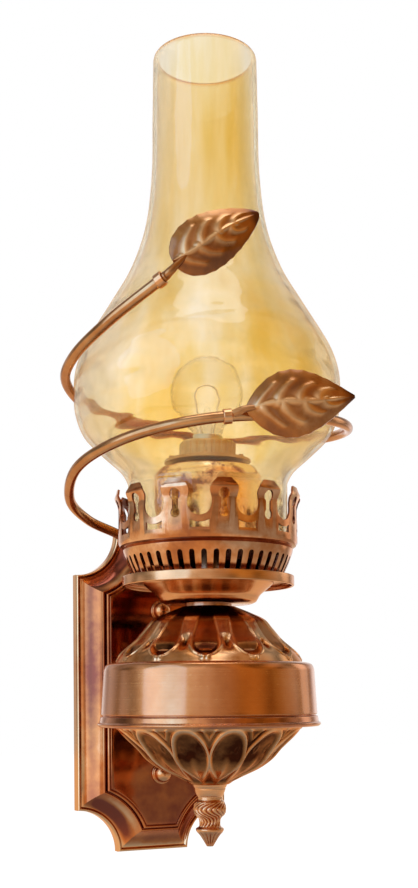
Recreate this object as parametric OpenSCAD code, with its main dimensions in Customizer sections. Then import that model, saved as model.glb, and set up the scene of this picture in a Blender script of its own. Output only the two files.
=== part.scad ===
// Wall lamp in the form of an oil lamp: amber glass chimney, pierced crown, round font,
// scooped wall plate, and a copper vine with two leaves that climbs round the glass.
// Millimetres. The origin is the centre of the wall plate, on the wall. X points to the
// right, -Y points out of the wall towards the room, and Z points up.

/* [Wall plate] */
// Width of the plate across its straight sides
plate_w = 82; // [76:1:110]
// Height of the plate
plate_h = 161.4; // [150:0.2:200]
// Radius of the scooped corners
scoop_r = 21.7; // [16:0.1:23]
// Height of the upright edge off the wall
edge_h = 4.8; // [3:0.2:7]
// Depth of the plate from the wall to its panel
plate_d = 15.4; // [14:0.2:20]
// Width of the moulding round the panel
mould_w = 14.3; // [11:0.1:17]
// Thickness of the pressed sheet
sheet = 1; // [0.6:0.1:1.4]

/* [Wall fixing] */
// Width of the mounting bar
bar_w = 22; // [18:1:28]
// Length of the mounting bar
bar_l = 130; // [124:1:140]
// Thickness of the mounting bar
bar_t = 2; // [1.5:0.1:3]
// Distance between the centres of the two wall slots
slot_pitch = 104; // [100:1:108]
// Width of a wall slot
slot_w = 4.6; // [4:0.1:6]
// Length of a wall slot from end to end
slot_l = 14; // [10:1:16]
// Distance between the two studs that hold the plate
stud_pitch = 82; // [76:1:84]
// Diameter of a stud
stud_d = 4; // [3:0.5:5]
// Diameter of a cap nut at its foot
cap_nut_d = 10.5; // [8:0.5:13]

/* [Stem] */
// Distance of the lamp's upright axis from the wall
axis_out = 71; // [70:0.5:80]
// Outer diameter of the threaded tubes
pipe_d = 10; // [9:0.1:11]
// Bore of the threaded tubes
pipe_bore = 7.5; // [6.5:0.1:8]
// Width of a locknut across its flats
nut_af = 14; // [13:0.5:16]
// Thickness of a locknut
nut_t = 3; // [2.5:0.1:4]
// Diameter of the hub in the font
hub_d = 22; // [20:1:26]
// Height of the hub
hub_h = 26; // [24:1:30]

/* [Font] */
// Radius of the band at its lower edge
band_r = 50.2; // [46:0.1:51]
// How much the band draws in towards its upper edge
band_draw = 1.3; // [0:0.1:3]
// Height of the band's upper face
band_top = 13.3; // [11:0.1:15]
// Height of the band's lower edge
band_low = -10.5; // [-12:0.1:-9.8]
// How far the ring stands out past the band
ring_step = 1.6; // [0.8:0.1:2.4]
// Depth of the ring
ring_h = 5.5; // [4.5:0.1:7]
// Radius of the dome and of the bowl where they meet the band and the ring
font_mouth_r = 43.4; // [41:0.1:44]
// Height of the dome
dome_h = 26.1; // [22:0.1:30]
// Depth of the bowl
bowl_h = 26.9; // [24:0.1:30]
// Number of lobes round the font
lobes = 12; // [8:1:16]
// Thickness of the spun shells
spun_t = 0.9; // [0.6:0.1:1.2]

/* [Finial] */
// Height of the finial
finial_h = 28.9; // [26:0.1:34]
// Radius of the finial's bulb
finial_r = 7.7; // [7.2:0.1:9]

/* [Neck and burner] */
// Thickness of the neck washer
neck_t = 1.4; // [1:0.1:3]
// Height of the neck cup
cup_h = 10; // [8:0.1:13]
// Radius of the neck cup at its mouth
cup_r = 30.3; // [27:0.1:32]
// Radius of the dish over the cup
dish_r = 39.9; // [37:0.1:42]
// Height of the lip round the dish
lip_h = 4.6; // [3.5:0.1:6]
// Height of the slotted basket
basket_h = 14.9; // [13:0.1:18]
// Radius of the basket at its foot
basket_foot_r = 34; // [31:0.1:35]
// Number of slots round the basket
slots = 44; // [24:2:48]
// Outer radius of the crown
crown_r = 41.5; // [40:0.1:43]
// Height of the crown
crown_h = 26; // [24:0.1:29]
// Number of prongs round the crown
prongs = 12; // [8:1:12]

/* [Chimney] */
// Height of the glass
glass_h = 226; // [210:1:250]
// Radius of the foot of the glass
foot_r = 37; // [35:0.1:38]
// Height of the straight foot
foot_h = 26; // [24:0.5:28]
// Radius of the belly
belly_r = 61.6; // [56:0.1:61.8]
// Height of the widest place above the foot
belly_h = 69.3; // [66:0.1:72]
// Radius of the neck
neck_r = 25; // [23:0.1:28]
// Height at which the neck begins
neck_h = 172; // [165:1:185]
// Radius of the top rim
rim_r = 23.9; // [23:0.1:28]
// Thickness of the glass
glass_t = 2; // [1.5:0.1:2.6]

/* [Lamp holder and bulb] */
// Radius of the cup that hides the holder
cover_r = 25.5; // [22:0.1:28]
// Height of the cup that hides the holder
cover_h = 39; // [37:0.1:41]
// Outer diameter of the holder's skirt
skirt_d = 26.3; // [25.6:0.1:28]
// Diameter of the shade ring
shade_ring_d = 40; // [36:0.5:43]
// Diameter of the bulb's globe
globe_d = 34; // [30:0.5:36]
// Diameter of the bulb's screw cap
cap_d = 13.8; // [13.4:0.1:14]

/* [Vine] */
// Diameter of the vine's tube
vine_d = 4.7; // [4:0.1:5]
// Clear gap between the vine and the belly of the glass
vine_gap = 1.3; // [1.2:0.1:4]
// Length of the upper leaf's blade
upper_leaf_l = 41.5; // [36:0.5:45]
// Width of the upper leaf's blade
upper_leaf_w = 24.5; // [20:0.5:28]
// Length of the lower leaf's blade
lower_leaf_l = 45; // [40:0.5:50]
// Width of the lower leaf's blade
lower_leaf_w = 28; // [24:0.5:32]
// Thickness of the leaves
leaf_t = 0.9; // [0.6:0.1:1.4]

/* [Hidden] */

$fn = 96;
// Radial clearance of a close fit
fit = 0.05;
// Gap between pieces that move apart
move_gap = 0.4;
// How far a cutter runs past what it cuts
over = 1;

copper = [0.72, 0.45, 0.29];
dark_copper = [0.42, 0.25, 0.15];
amber = [0.87, 0.72, 0.42, 0.45];
steel = [0.66, 0.67, 0.69];
brass_tone = [0.80, 0.66, 0.36];

// Heights of the stack on the lamp's axis, from the bottom to the top
ring_low = band_low - ring_h;
bowl_low = ring_low - bowl_h;
finial_low = bowl_low - finial_h;
dome_top = band_top + dome_h;
cup_low = dome_top + neck_t;
cup_top = cup_low + cup_h;
dish_top = cup_top + spun_t;
basket_top = dish_top + basket_h;
crown_low = basket_top;
crown_floor = crown_low + spun_t;
crown_top = crown_low + crown_h;
glass_low = crown_floor + move_gap;
glass_top = glass_low + glass_h;
cover_floor = crown_floor + spun_t;
cover_top = crown_floor + cover_h;

ring_r = band_r + ring_step;
// Radius of the coil round the glass
vine_r = belly_r + vine_d / 2 + vine_gap;
hole_r = pipe_d / 2 + fit;
panel_back = plate_d - sheet;

// Points of a smooth curve through hand-set stations
function blend(a, b, c, d, t) = 0.5 * (2 * b + (c - a) * t
    + (2 * a - 5 * b + 4 * c - d) * t * t
    + (3 * b - a - 3 * c + d) * t * t * t);
function smooth(p, n) = let (e = len(p) - 1) concat(
    [for (i = [0:e - 1]) for (k = [0:n - 1])
        blend(p[max(i - 1, 0)], p[i], p[i + 1], p[min(i + 2, e)], k / n)],
    [p[e]]);
function backwards(p) = [for (i = [len(p) - 1:-1:0]) p[i]];
function unit(v) = v / norm(v);

// The same profile moved sideways by w, to the left of its direction
function side_step(p, w) = let (e = len(p) - 1) [for (i = [0:e])
    let (d = unit(p[min(i + 1, e)] - p[max(i - 1, 0)])) p[i] + w * [-d[1], d[0]]];

// A spun shell: a profile of [radius, height] stations with a wall on its left
module spun(p, w) {
    rotate_extrude() polygon(concat(p, backwards(side_step(p, w))));
}

// A ring of square section between two radii and two heights
module ring(r_in, r_out, low, high) {
    rotate_extrude() translate([r_in, low]) square([r_out - r_in, high - low]);
}

// A tube along a route, with a closed skin and flat ends
function side_of(d) = unit(abs(d[2]) < 0.9 ? cross(d, [0, 0, 1]) : cross(d, [1, 0, 0]));
module swept(route, r, sides) {
    e = len(route) - 1;
    ways = [for (i = [0:e]) unit(route[min(i + 1, e)] - route[max(i - 1, 0)])];
    across = carried(ways, side_of(ways[0]), 0);
    rings = [for (i = [0:e]) for (k = [0:sides - 1])
        let (a = 360 * k / sides, u = across[i], v = cross(ways[i], u))
        route[i] + r * (cos(a) * u + sin(a) * v)];
    skin = [for (i = [0:e - 1]) for (k = [0:sides - 1])
        let (n = (k + 1) % sides, a = i * sides, b = a + sides)
        each [[a + k, b + k, b + n], [a + k, b + n, a + n]]];
    near_end = [for (k = [1:sides - 2]) [0, k, k + 1]];
    far_end = [for (k = [1:sides - 2]) let (a = e * sides) [a, a + k + 1, a + k]];
    polyhedron(rings, concat(skin, near_end, far_end), convexity = 6);
}

// The sideways direction carried along the route without twisting
function carried(ways, u, i) = i == len(ways) ? [] :
    let (v = unit(u - (u * ways[i]) * ways[i])) concat([v], carried(ways, v, i + 1));

module on_wall() {
    rotate([90, 0, 0]) children();
}

module on_axis() {
    translate([0, -axis_out, 0]) children();
}

module facing(place, way) {
    translate(place) rotate([0, acos(way[2] / norm(way)), atan2(way[1], way[0])]) children();
}

module hexagon(af, t) {
    linear_extrude(t) circle(d = af / cos(30), $fn = 6);
}

// WALL PLATE
// The moulding climbs from the upright edge to the panel: [distance in from the rim,
// height off the wall]. A hollow runs into a round, as shares of its run and its rise.
step_back = 3.5;
step_h = 1.9;
ogee_in = 0.9;
ogee_low = edge_h + 0.1;
ogee = [[0, 0], [0.15, 0.05], [0.32, 0.16], [0.46, 0.33], [0.57, 0.54], [0.67, 0.74],
    [0.79, 0.9], [0.91, 0.985], [1, 1]];
mould = concat(
    [[0, 0], [0, edge_h - 0.6], [0.25, edge_h - 0.15]],
    [for (m = ogee) [ogee_in + m[0] * (mould_w - step_back - ogee_in),
        ogee_low + m[1] * (plate_d - step_h - ogee_low)]],
    [[mould_w - 1.3, plate_d - step_h], [mould_w - 1, plate_d - 0.5],
     [mould_w - 0.4, plate_d]]);
function mould_in(g) = [for (m = mould) [m[0] + g, m[1] - g]];

// The half profile over a span, mirrored to both sides
function across(span, g) = let (m = mould_in(g)) concat(
    [[g - span / 2, -over]], [for (p = m) [p[0] - span / 2, p[1]]],
    backwards([for (p = m) [span / 2 - p[0], p[1]]]), [[span / 2 - g, -over]]);

module moulded_block(g) {
    difference() {
        intersection() {
            rotate([90, 0, 0]) linear_extrude(plate_h + 2 * over, center = true)
                polygon(across(plate_w, g));
            rotate([90, 0, 90]) linear_extrude(plate_w + 2 * over, center = true)
                polygon(across(plate_h, g));
        }
        for (x = [-1, 1], z = [-1, 1])
            translate([x * plate_w / 2, z * plate_h / 2, 0]) scoop(g);
    }
}

module scoop(g) {
    m = mould_in(g);
    rotate_extrude() polygon(concat(
        [[0, -2 * over], [scoop_r + g, -2 * over]],
        [for (p = m) [scoop_r + p[0], p[1]]],
        [[scoop_r + mould_w + g, plate_d + over], [0, plate_d + over]]));
}

module wall_plate() {
    color(copper) on_wall() difference() {
        intersection() {
            moulded_block(0);
            translate([-plate_w, -plate_h, 0]) cube([2 * plate_w, 2 * plate_h, 2 * plate_d]);
        }
        moulded_block(sheet);
        cylinder(r = hole_r, h = 2 * plate_d);
        for (z = [-1, 1]) translate([0, z * stud_pitch / 2, 0])
            cylinder(d = stud_d + 4 * fit, h = 2 * plate_d);
        translate([0, root_z, 0]) cylinder(d = vine_d + 4 * fit, h = 2 * plate_d);
    }
}

// MOUNTING BAR AND FIXINGS
cable_hole_d = 11;
cable_hole_z = 28;
earth_z = 16;
module mounting_bar() {
    color(steel) on_wall() difference() {
        linear_extrude(bar_t) bar_outline();
        for (z = [-1, 1]) translate([0, z * slot_pitch / 2, -over])
            linear_extrude(bar_t + 2 * over) slot_outline();
        for (z = [-1, 1]) translate([0, z * stud_pitch / 2, -over])
            cylinder(d = stud_d + 2 * fit, h = bar_t + 2 * over);
        translate([0, cable_hole_z, -over]) cylinder(d = cable_hole_d, h = bar_t + 2 * over);
        translate([0, earth_z, -over])
            cylinder(d = earth_screw_d + 2 * fit, h = bar_t + 2 * over);
    }
}

module bar_outline() {
    square([bar_w, bar_l - bar_w], center = true);
    for (z = [-1, 1]) translate([0, z * (bar_l - bar_w) / 2]) circle(d = bar_w);
}

module slot_outline() {
    square([slot_w, slot_l - slot_w], center = true);
    for (z = [-1, 1]) translate([0, z * (slot_l - slot_w) / 2]) circle(d = slot_w);
}

cap_nut_bore = 4.5;
module mounting_studs() {
    color(steel) on_wall() for (z = [-1, 1]) translate([0, z * stud_pitch / 2, 0])
        cylinder(d = stud_d, h = plate_d + cap_nut_bore - fit);
}

module cap_nuts() {
    washer_t = 1;
    dome_r = cap_nut_d * 0.42;
    color(copper) on_wall() for (z = [-1, 1]) translate([0, z * stud_pitch / 2, plate_d])
        difference() {
            rotate_extrude() intersection() {
                union() {
                    square([cap_nut_d / 2, washer_t]);
                    square([dome_r, washer_t + 1.2]);
                    translate([0, washer_t + 1.2]) circle(r = dome_r);
                }
                square([cap_nut_d, cap_nut_d]);
            }
            translate([0, 0, -over]) cylinder(d = stud_d + 2 * fit, h = cap_nut_bore + over);
        }
}

block_w = 18;
block_l = 13;
block_h = 9.5;
block_z = -23;
pole_x = 4.2;
lead_d = 1.8;
module terminal_block() {
    color([0.93, 0.92, 0.88]) on_wall() translate([0, block_z, bar_t]) difference() {
        translate([-block_w / 2, -block_l / 2, 0]) cube([block_w, block_l, block_h]);
        for (x = [-1, 1]) translate([x * pole_x, 0, block_h / 2])
            rotate([90, 0, 0]) cylinder(r = lead_d / 2 + 3 * fit, h = 2 * block_l, center = true);
        for (x = [-1, 1], z = [-1, 1])
            translate([x * pole_x, z * block_l / 4, block_h / 2])
                cylinder(d = screw_head_d + 2 * fit, h = block_h);
        translate([-block_w, -0.8, block_h - 1.5]) cube([2 * block_w, 1.6, block_h]);
    }
}

screw_head_d = 3.2;
module terminal_screws() {
    low = bar_t + block_h / 2 + lead_d / 2 + fit;
    color(brass_tone) on_wall() for (x = [-1, 1], z = [-1, 1])
        translate([x * pole_x, block_z + z * block_l / 4, low]) difference() {
            cylinder(d = screw_head_d, h = 3);
            translate([-screw_head_d, -0.3, 2.3]) cube([2 * screw_head_d, 0.6, over]);
        }
}

earth_screw_d = 4;
module earth_screw() {
    color(brass_tone) on_wall() translate([0, earth_z, 0]) {
        translate([0, 0, 0.2]) cylinder(d = earth_screw_d, h = bar_t);
        translate([0, 0, bar_t]) difference() {
            cylinder(d = 2 * earth_screw_d, h = 2.4);
            translate([-earth_screw_d, -0.4, 1.4]) cube([2 * earth_screw_d, 0.8, over]);
        }
    }
}

// STEM
// Gap between the pipe's open end and the wall
pipe_end = 8.5;
pipe_seat = hub_d / 2 - 4.5;
pipe_stop = axis_out - hub_d / 2 + pipe_seat;
module wall_pipe() {
    color(brass_tone) on_wall() difference() {
        translate([0, 0, pipe_end]) cylinder(d = pipe_d, h = pipe_stop - pipe_end);
        cylinder(d = pipe_bore, h = 2 * pipe_stop);
    }
}

// Outer radius of the band at the height of the pipe
function band_at(z) = band_r - band_draw * (z - band_low) / (band_top - 3 - band_low);
spacer_d = 17;
module pipe_spacer() {
    reach = axis_out - plate_d;
    color(copper) on_axis() difference() {
        rotate([-90, 0, 0]) difference() {
            cylinder(d = spacer_d, h = reach);
            translate([0, 0, -over]) cylinder(r = hole_r, h = reach + 2 * over);
        }
        band_cone(-fit);
    }
}

// The space that the band's wall fills, drawn in by g
module band_cone(g) {
    low = band_low - over;
    high = band_top;
    rotate_extrude() polygon([[0, low], [band_at(low) - g, low], [band_at(high) - g, high],
        [0, high]]);
}

washer_back = band_r - band_draw - 2 * spun_t - 2.6;
module saddle_washer() {
    color(steel) on_axis() intersection() {
        rotate([-90, 0, 0]) difference() {
            translate([0, 0, washer_back]) cylinder(d = spacer_d, h = band_r);
            cylinder(r = hole_r, h = 2 * band_r);
        }
        band_cone(spun_t + fit);
    }
}

module locknuts() {
    color(steel) {
        on_wall() translate([0, 0, panel_back - nut_t]) locknut();
        on_axis() rotate([-90, 0, 0]) translate([0, 0, washer_back - nut_t]) locknut();
        on_axis() translate([0, 0, cover_floor]) locknut();
    }
}

module locknut() {
    difference() {
        hexagon(nut_af, nut_t);
        translate([0, 0, -over]) cylinder(r = hole_r, h = nut_t + 2 * over);
    }
}

hub_way_r = 4;
tube_seat = pipe_d / 2 + 0.2;
module centre_hub() {
    color(brass_tone) on_axis() difference() {
        rotate_extrude() polygon([[0, -hub_h / 2], [hub_d / 2 - 2, -hub_h / 2],
            [hub_d / 2, 2 - hub_h / 2], [hub_d / 2, hub_h / 2 - 2],
            [hub_d / 2 - 2, hub_h / 2], [0, hub_h / 2]]);
        for (s = [0, 180]) rotate([s, 0, 0]) {
            cylinder(r = hub_way_r, h = hub_h);
            translate([0, 0, tube_seat]) cylinder(r = hole_r, h = hub_h);
        }
        rotate([-90, 0, 0]) {
            cylinder(r = hub_way_r, h = hub_d);
            translate([0, 0, hub_d / 2 - pipe_seat]) cylinder(r = hole_r, h = hub_d);
        }
    }
}

holder_drop = 22.5;
holder_low = cover_top - holder_drop;
tube_top = holder_low + 6;
module upper_tube() {
    color(brass_tone) on_axis() ring(pipe_bore / 2, pipe_d / 2, tube_seat, tube_top);
}

finial_thread = 9;
module lower_tube() {
    color(brass_tone) on_axis()
        ring(pipe_bore / 2, pipe_d / 2, bowl_low - finial_thread, -tube_seat);
}

// FONT
module font_band() {
    r_top = band_r - band_draw;
    skin = [[band_r, band_low], [band_r, band_low + 1], [r_top, band_top - 3],
        [r_top - 0.4, band_top - 1.4],
        [r_top - 1.4, band_top - 0.4], [r_top - 3, band_top], [font_mouth_r - 1.8, band_top]];
    color(copper) on_axis() difference() {
        spun(skin, spun_t);
        rotate([-90, 0, 0]) cylinder(r = hole_r, h = 2 * band_r);
    }
}

module font_ring() {
    seat = band_at(band_low + 2) - spun_t - 2 * fit;
    mouth = font_mouth_r - 1.6;
    color(copper) on_axis() rotate_extrude() polygon([[mouth, ring_low],
        [ring_r - 2.2, ring_low], [ring_r, ring_low + 2.2], [ring_r, band_low],
        [seat, band_low], [seat, band_low + 2], [seat - 1, band_low + 2],
        [seat - 1, ring_low + 3.6], [seat - 3.6, ring_low + 1.2], [mouth, ring_low + 1.2]]);
}

// Dome and bowl: [share of the mouth's radius, share of the height] of the meridian
dome_line = [[1, 0], [0.943, 0.15], [0.858, 0.29], [0.768, 0.425], [0.68, 0.6],
    [0.595, 0.762], [0.45, 0.885], [0.288, 1]];
bowl_line = [[1, 0], [0.894, 0.19], [0.77, 0.385], [0.67, 0.57], [0.535, 0.725],
    [0.36, 0.862], [0.21, 1]];

// A shell with pressed petals: raised ones are swells with creases between them, hollow
// ones are dips with sharp ribs between them. They fade in from the foot and out again
// towards the crown of the shell. The last station closes the shell inwards to the hole
// for the tube.
petal_h = 1.3;
rib_steps = 6;
function petal(a, s, raised) = s >= 1 ? 0 :
    petal_h * sin(180 * pow(s, 0.8))
    * (raised ? pow(abs(cos(a * lobes / 2)), 0.7) - 1 : -pow(abs(cos(a * lobes / 2)), 0.7));
module pressed_shell(line, r, h, w, turn, raised) {
    n = lobes * rib_steps;
    skin = [for (m = line) [m[0] * r, m[1] * h]];
    e = len(skin);
    back = side_step(skin, h > 0 ? w : -w);
    outer = concat(skin, [[hole_r, h]]);
    inner = [for (i = [0:e]) i == 0 ? [back[0][0], 0] : i >= e - 1
        ? [i == e ? hole_r : back[i][0], h - sign(h) * w] : back[i]];
    points = [for (p = [outer, inner]) for (i = [0:e]) for (k = [0:n - 1])
        let (a = 360 * k / n, q = p[i][0] + petal(a, i / (e - 1), raised))
        [q * cos(a + turn), q * sin(a + turn), p[i][1]]];
    b = (e + 1) * n;
    walls = [for (i = [0:e - 1]) for (k = [0:n - 1])
        let (j = (k + 1) % n, a = i * n, c = a + n)
        each [[a + k, c + j, a + j], [a + k, c + k, c + j],
            [b + a + k, b + a + j, b + c + j], [b + a + k, b + c + j, b + c + k]]];
    foot = [for (k = [0:n - 1]) let (j = (k + 1) % n) each [[k, j, b + j], [k, b + j, b + k]]];
    head = [for (k = [0:n - 1]) let (j = (k + 1) % n, a = e * n)
        each [[a + k, b + a + j, a + j], [a + k, b + a + k, b + a + j]]];
    faces = concat(walls, foot, head);
    polyhedron(points, h > 0 ? faces : [for (f = faces) [f[0], f[2], f[1]]], convexity = 8);
}

dome_turn = 2;
module font_dome() {
    color(copper) on_axis() translate([0, 0, band_top])
        pressed_shell(dome_line, font_mouth_r, dome_h, spun_t, dome_turn, true);
}

bowl_turn = 19;
module font_bowl() {
    color(copper) on_axis() translate([0, 0, ring_low])
        pressed_shell(bowl_line, font_mouth_r, -bowl_h, spun_t, bowl_turn, false);
}

// FINIAL
// [share of the bulb's radius, share of the height] from the foot of the bowl down
finial_line = [[1.07, 0], [0.9, 0.13], [0.76, 0.235], [0.9, 0.29], [1, 0.385], [0.93, 0.48],
    [0.7, 0.545], [0.64, 0.6], [0.66, 0.675], [0.84, 0.715], [0.8, 0.765], [0.62, 0.82],
    [0.4, 0.91], [0.2, 1]];
module finial() {
    p = [for (m = smooth(finial_line, 2)) [m[0] * finial_r, -m[1] * finial_h]];
    color(dark_copper) on_axis() translate([0, 0, bowl_low]) difference() {
        rotate_extrude() polygon(concat([[0, 0]], p, [[0, -finial_h]]));
        translate([0, 0, -finial_thread - 0.5])
            cylinder(r = hole_r, h = finial_thread + 0.5 + over);
    }
}

// NECK
module neck_washer() {
    color(dark_copper) on_axis() ring(hole_r, font_mouth_r * 0.25, dome_top, cup_low);
}

module neck_cup() {
    foot = cup_r * 0.71;
    line = [[hole_r, cup_low], [foot - 1.2, cup_low], [foot + 0.6, cup_low + 0.8],
        [foot + 1.6, cup_low + 2.2], [foot + 2.9, cup_low + 0.42 * cup_h],
        [cup_r - 2, cup_low + 0.75 * cup_h], [cup_r, cup_top - 0.8], [cup_r, cup_top]];
    color(copper) on_axis() spun(line, spun_t);
}

module dish() {
    lip_t = 1.2;
    lip_low = cup_top - 0.45 * lip_h;
    color(copper) on_axis() {
        ring(hole_r, dish_r - lip_t / 2, cup_top, dish_top);
        rotate_extrude() {
            translate([dish_r - lip_t, lip_low + lip_t / 2])
                square([lip_t, lip_h - lip_t]);
            for (z = [lip_low + lip_t / 2, lip_low + lip_h - lip_t / 2])
                translate([dish_r - lip_t / 2, z]) circle(d = lip_t, $fn = 24);
        }
    }
}

// BASKET
slot_share = 0.46;
basket_r = crown_r - 2.1;
module slotted_basket() {
    waist = basket_foot_r + 0.62 * (basket_r - basket_foot_r);
    line = [[basket_foot_r - 4, dish_top], [basket_foot_r, dish_top],
        [waist, dish_top + 0.5 * basket_h], [basket_r - 0.3, dish_top + 0.82 * basket_h],
        [basket_r, basket_top - 1.2], [basket_r - 0.6, basket_top],
        [basket_r - 4, basket_top]];
    slot = slot_share * 2 * PI * waist / slots;
    low = dish_top + 1.4;
    high = dish_top + 0.7 * basket_h - slot / 2;
    color(copper) on_axis() difference() {
        spun(line, spun_t);
        for (k = [0:slots - 1]) rotate([0, 0, 360 * (k + 0.5) / slots])
            rotate([90, 0, 90]) translate([0, 0, basket_foot_r - 3]) linear_extrude(9)
                polygon(concat([[-slot / 2, low], [slot / 2, low]],
                    [for (t = [0:30:180]) [slot / 2 * cos(t), high + slot / 2 * sin(t)]]));
    }
}

// CROWN
prong_turn = 14;
pitch = 2 * PI * crown_r / prongs;
// Right-hand outline of the mouth between two prongs: [share of the pitch, height]
mouth_line = [[0, 0.375], [0.13, 0.405], [0.215, 0.48], [0.25, 0.565], [0.245, 0.665],
    [0.22, 0.755], [0.222, 0.82], [0.26, 0.89], [0.31, 0.945], [0.355, 0.99], [0.37, 1.12]];
module crown_gallery() {
    r = crown_r;
    z = crown_low;
    skin = [[hole_r, z], [r - 2.2, z], [r - 0.7, z + 0.5], [r, z + 1.8], [r, z + 0.68 * crown_h],
        [r + 0.6, z + 0.77 * crown_h], [r + 1.5, z + 0.84 * crown_h],
        [r + 1.7, z + 0.875 * crown_h], [r + 1.2, z + 0.93 * crown_h],
        [r + 0.7, crown_top]];
    color(copper) on_axis() difference() {
        spun(skin, spun_t);
        for (k = [0:prongs - 1]) rotate([0, 0, prong_turn + 360 * (k + 0.5) / prongs])
            pierce() mouth_and_window();
        for (k = [0:prongs - 1]) rotate([0, 0, prong_turn + 360 * k / prongs])
            pierce() keyhole();
    }
}

module pierce() {
    translate([crown_r - 6, 0, crown_low]) rotate([90, 0, 90]) linear_extrude(12) children();
}

module mouth_and_window() {
    half = [for (m = smooth(mouth_line, 2)) [m[0] * pitch, m[1] * crown_h]];
    polygon(concat(half, [for (m = backwards(half)) [-m[0], m[1]]]));
    difference() {
        translate([-0.2 * pitch, 0.175 * crown_h]) square([0.4 * pitch, 0.15 * crown_h]);
        translate([0, 0.59 * crown_h]) circle(d = 0.78 * pitch, $fn = 48);
    }
}

module keyhole() {
    translate([0, 0.735 * crown_h]) circle(d = 0.23 * pitch, $fn = 32);
    translate([0, 0.43 * crown_h]) circle(d = 0.2 * pitch, $fn = 32);
    translate([-0.065 * pitch, 0.43 * crown_h]) square([0.13 * pitch, 0.3 * crown_h]);
}

// LAMP HOLDER
cap_gap = 0.4;
shell_r = cap_d / 2 + cap_gap;
holder_r = skirt_d / 2 - 1.6;
holder_top = holder_low + 14;
skirt_top = cover_top + 9.8;
module holder_cover() {
    r = cover_r;
    mouth = skirt_d / 2 + 0.3;
    skin = [[hole_r, crown_floor], [r - 1.5, crown_floor], [r - 0.4, crown_floor + 0.6],
        [r, crown_floor + 2], [r, cover_top - 9], [r - 0.9, cover_top - 6],
        [r - 3.4, cover_top - 3], [r - 7, cover_top - 1], [mouth, cover_top]];
    color(dark_copper) on_axis() spun(skin, spun_t);
}

module shade_ring() {
    lug_count = 6;
    low = cover_top + 0.3;
    color([0.13, 0.12, 0.11]) on_axis() {
        ring(skirt_d / 2 + fit, shade_ring_d / 2, low, low + 1.6);
        for (k = [0:lug_count - 1]) rotate([0, 0, 360 * k / lug_count])
            translate([shade_ring_d / 2 - 1.6, 0, low + 1.6]) cylinder(r = 1.2, h = 1, $fn = 24);
    }
}

module holder_base() {
    way_r = 4;
    color([0.2, 0.19, 0.18]) on_axis() difference() {
        ring(0, holder_r, holder_low, holder_top);
        translate([0, 0, holder_low - over]) cylinder(r = hole_r, h = tube_top - holder_low + over);
        translate([0, 0, tube_top - over]) cylinder(r = way_r, h = 3 + over);
        translate([0, 0, holder_top - 3]) cylinder(r = shell_r + 1.5, h = 3 + over);
    }
}

module holder_skirt() {
    rib_count = 24;
    r = skirt_d / 2;
    low = holder_low + 4;
    color([0.13, 0.12, 0.11]) on_axis() difference() {
        rotate_extrude() polygon([[holder_r + fit, low], [r, low], [r, skirt_top - 1],
            [r - 1, skirt_top], [shell_r + 0.4, skirt_top], [shell_r + 0.4, skirt_top - 1.8],
            [holder_r + fit, skirt_top - 1.8]]);
        for (k = [0:rib_count - 1]) rotate([0, 0, 360 * k / rib_count])
            translate([r + 0.5, 0, cover_top + 2.6]) cylinder(r = 1, h = 20, $fn = 24);
    }
}

shell_low = holder_top - 3;
contact_top = shell_low + 2.2;
module screw_shell() {
    color(brass_tone) on_axis() {
        ring(shell_r, shell_r + 0.6, shell_low, skirt_top - 3);
        ring(4.6, shell_r + 0.6, shell_low, shell_low + 0.6);
    }
}

module centre_contact() {
    color(brass_tone) on_axis() {
        ring(0, 2.8, shell_low, shell_low + 0.6);
        ring(0, 1.6, shell_low + 0.6, contact_top);
    }
}

// BULB
bulb_low = contact_top + 0.3;
cap_top = bulb_low + 22;
globe_z = cap_top + 19.2;
module bulb_cap() {
    r = cap_d / 2;
    color(steel) on_axis() rotate_extrude() difference() {
        polygon([[0, bulb_low], [2.4, bulb_low], [2.4, bulb_low + 0.8], [4.6, bulb_low + 2.6],
            [r - 0.6, bulb_low + 3], [r, bulb_low + 3.6], [r, cap_top], [0, cap_top]]);
        translate([0, bulb_low + 4.5]) square([r - 0.5, cap_top]);
    }
}

function globe_line(r, n) = [for (k = [0:n]) let (a = -50 + 140 * k / n)
    [r * cos(a), globe_z + r * sin(a)]];
module bulb_glass() {
    wall = 0.7;
    r = globe_d / 2;
    neck = cap_d / 2 - 0.6;
    outer = concat([[neck, cap_top - 4], [neck, cap_top + 0.5], [neck + 1.1, cap_top + 2.6]],
        globe_line(r, 24));
    inner = concat([[neck - wall, cap_top - 4], [neck - wall, cap_top + 0.7],
        [neck + 0.5, cap_top + 3]], globe_line(r - wall, 24));
    color([0.95, 0.93, 0.88, 0.4]) on_axis() rotate_extrude()
        polygon(concat(outer, backwards(inner)));
}

module bulb_stem() {
    neck = cap_d / 2 - 1.3;
    color([0.9, 0.92, 0.92, 0.5]) on_axis() rotate_extrude()
        polygon([[0, cap_top - 4], [neck - fit, cap_top - 4], [neck - fit, cap_top - 3],
            [2.6, cap_top - 0.5], [1.9, cap_top + 4], [1.5, globe_z - 8], [0, globe_z - 7]]);
}

module filament() {
    wire_r = 0.35;
    spread = 6.5;
    post_x = 2.5 + wire_r;
    bow_z = globe_z - 3;
    color([0.5, 0.47, 0.42]) on_axis() for (s = [0, 180]) rotate([0, 0, s]) {
        facing([post_x, 0, cap_top + 1], [spread - post_x, 0, bow_z - cap_top - 1])
            cylinder(r = wire_r, h = norm([spread - post_x, bow_z - cap_top - 1]), $fn = 16);
        translate([0, 0, bow_z]) rotate([90, 0, 0]) rotate_extrude(angle = 90)
            translate([spread, 0]) circle(r = wire_r, $fn = 16);
    }
}

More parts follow.
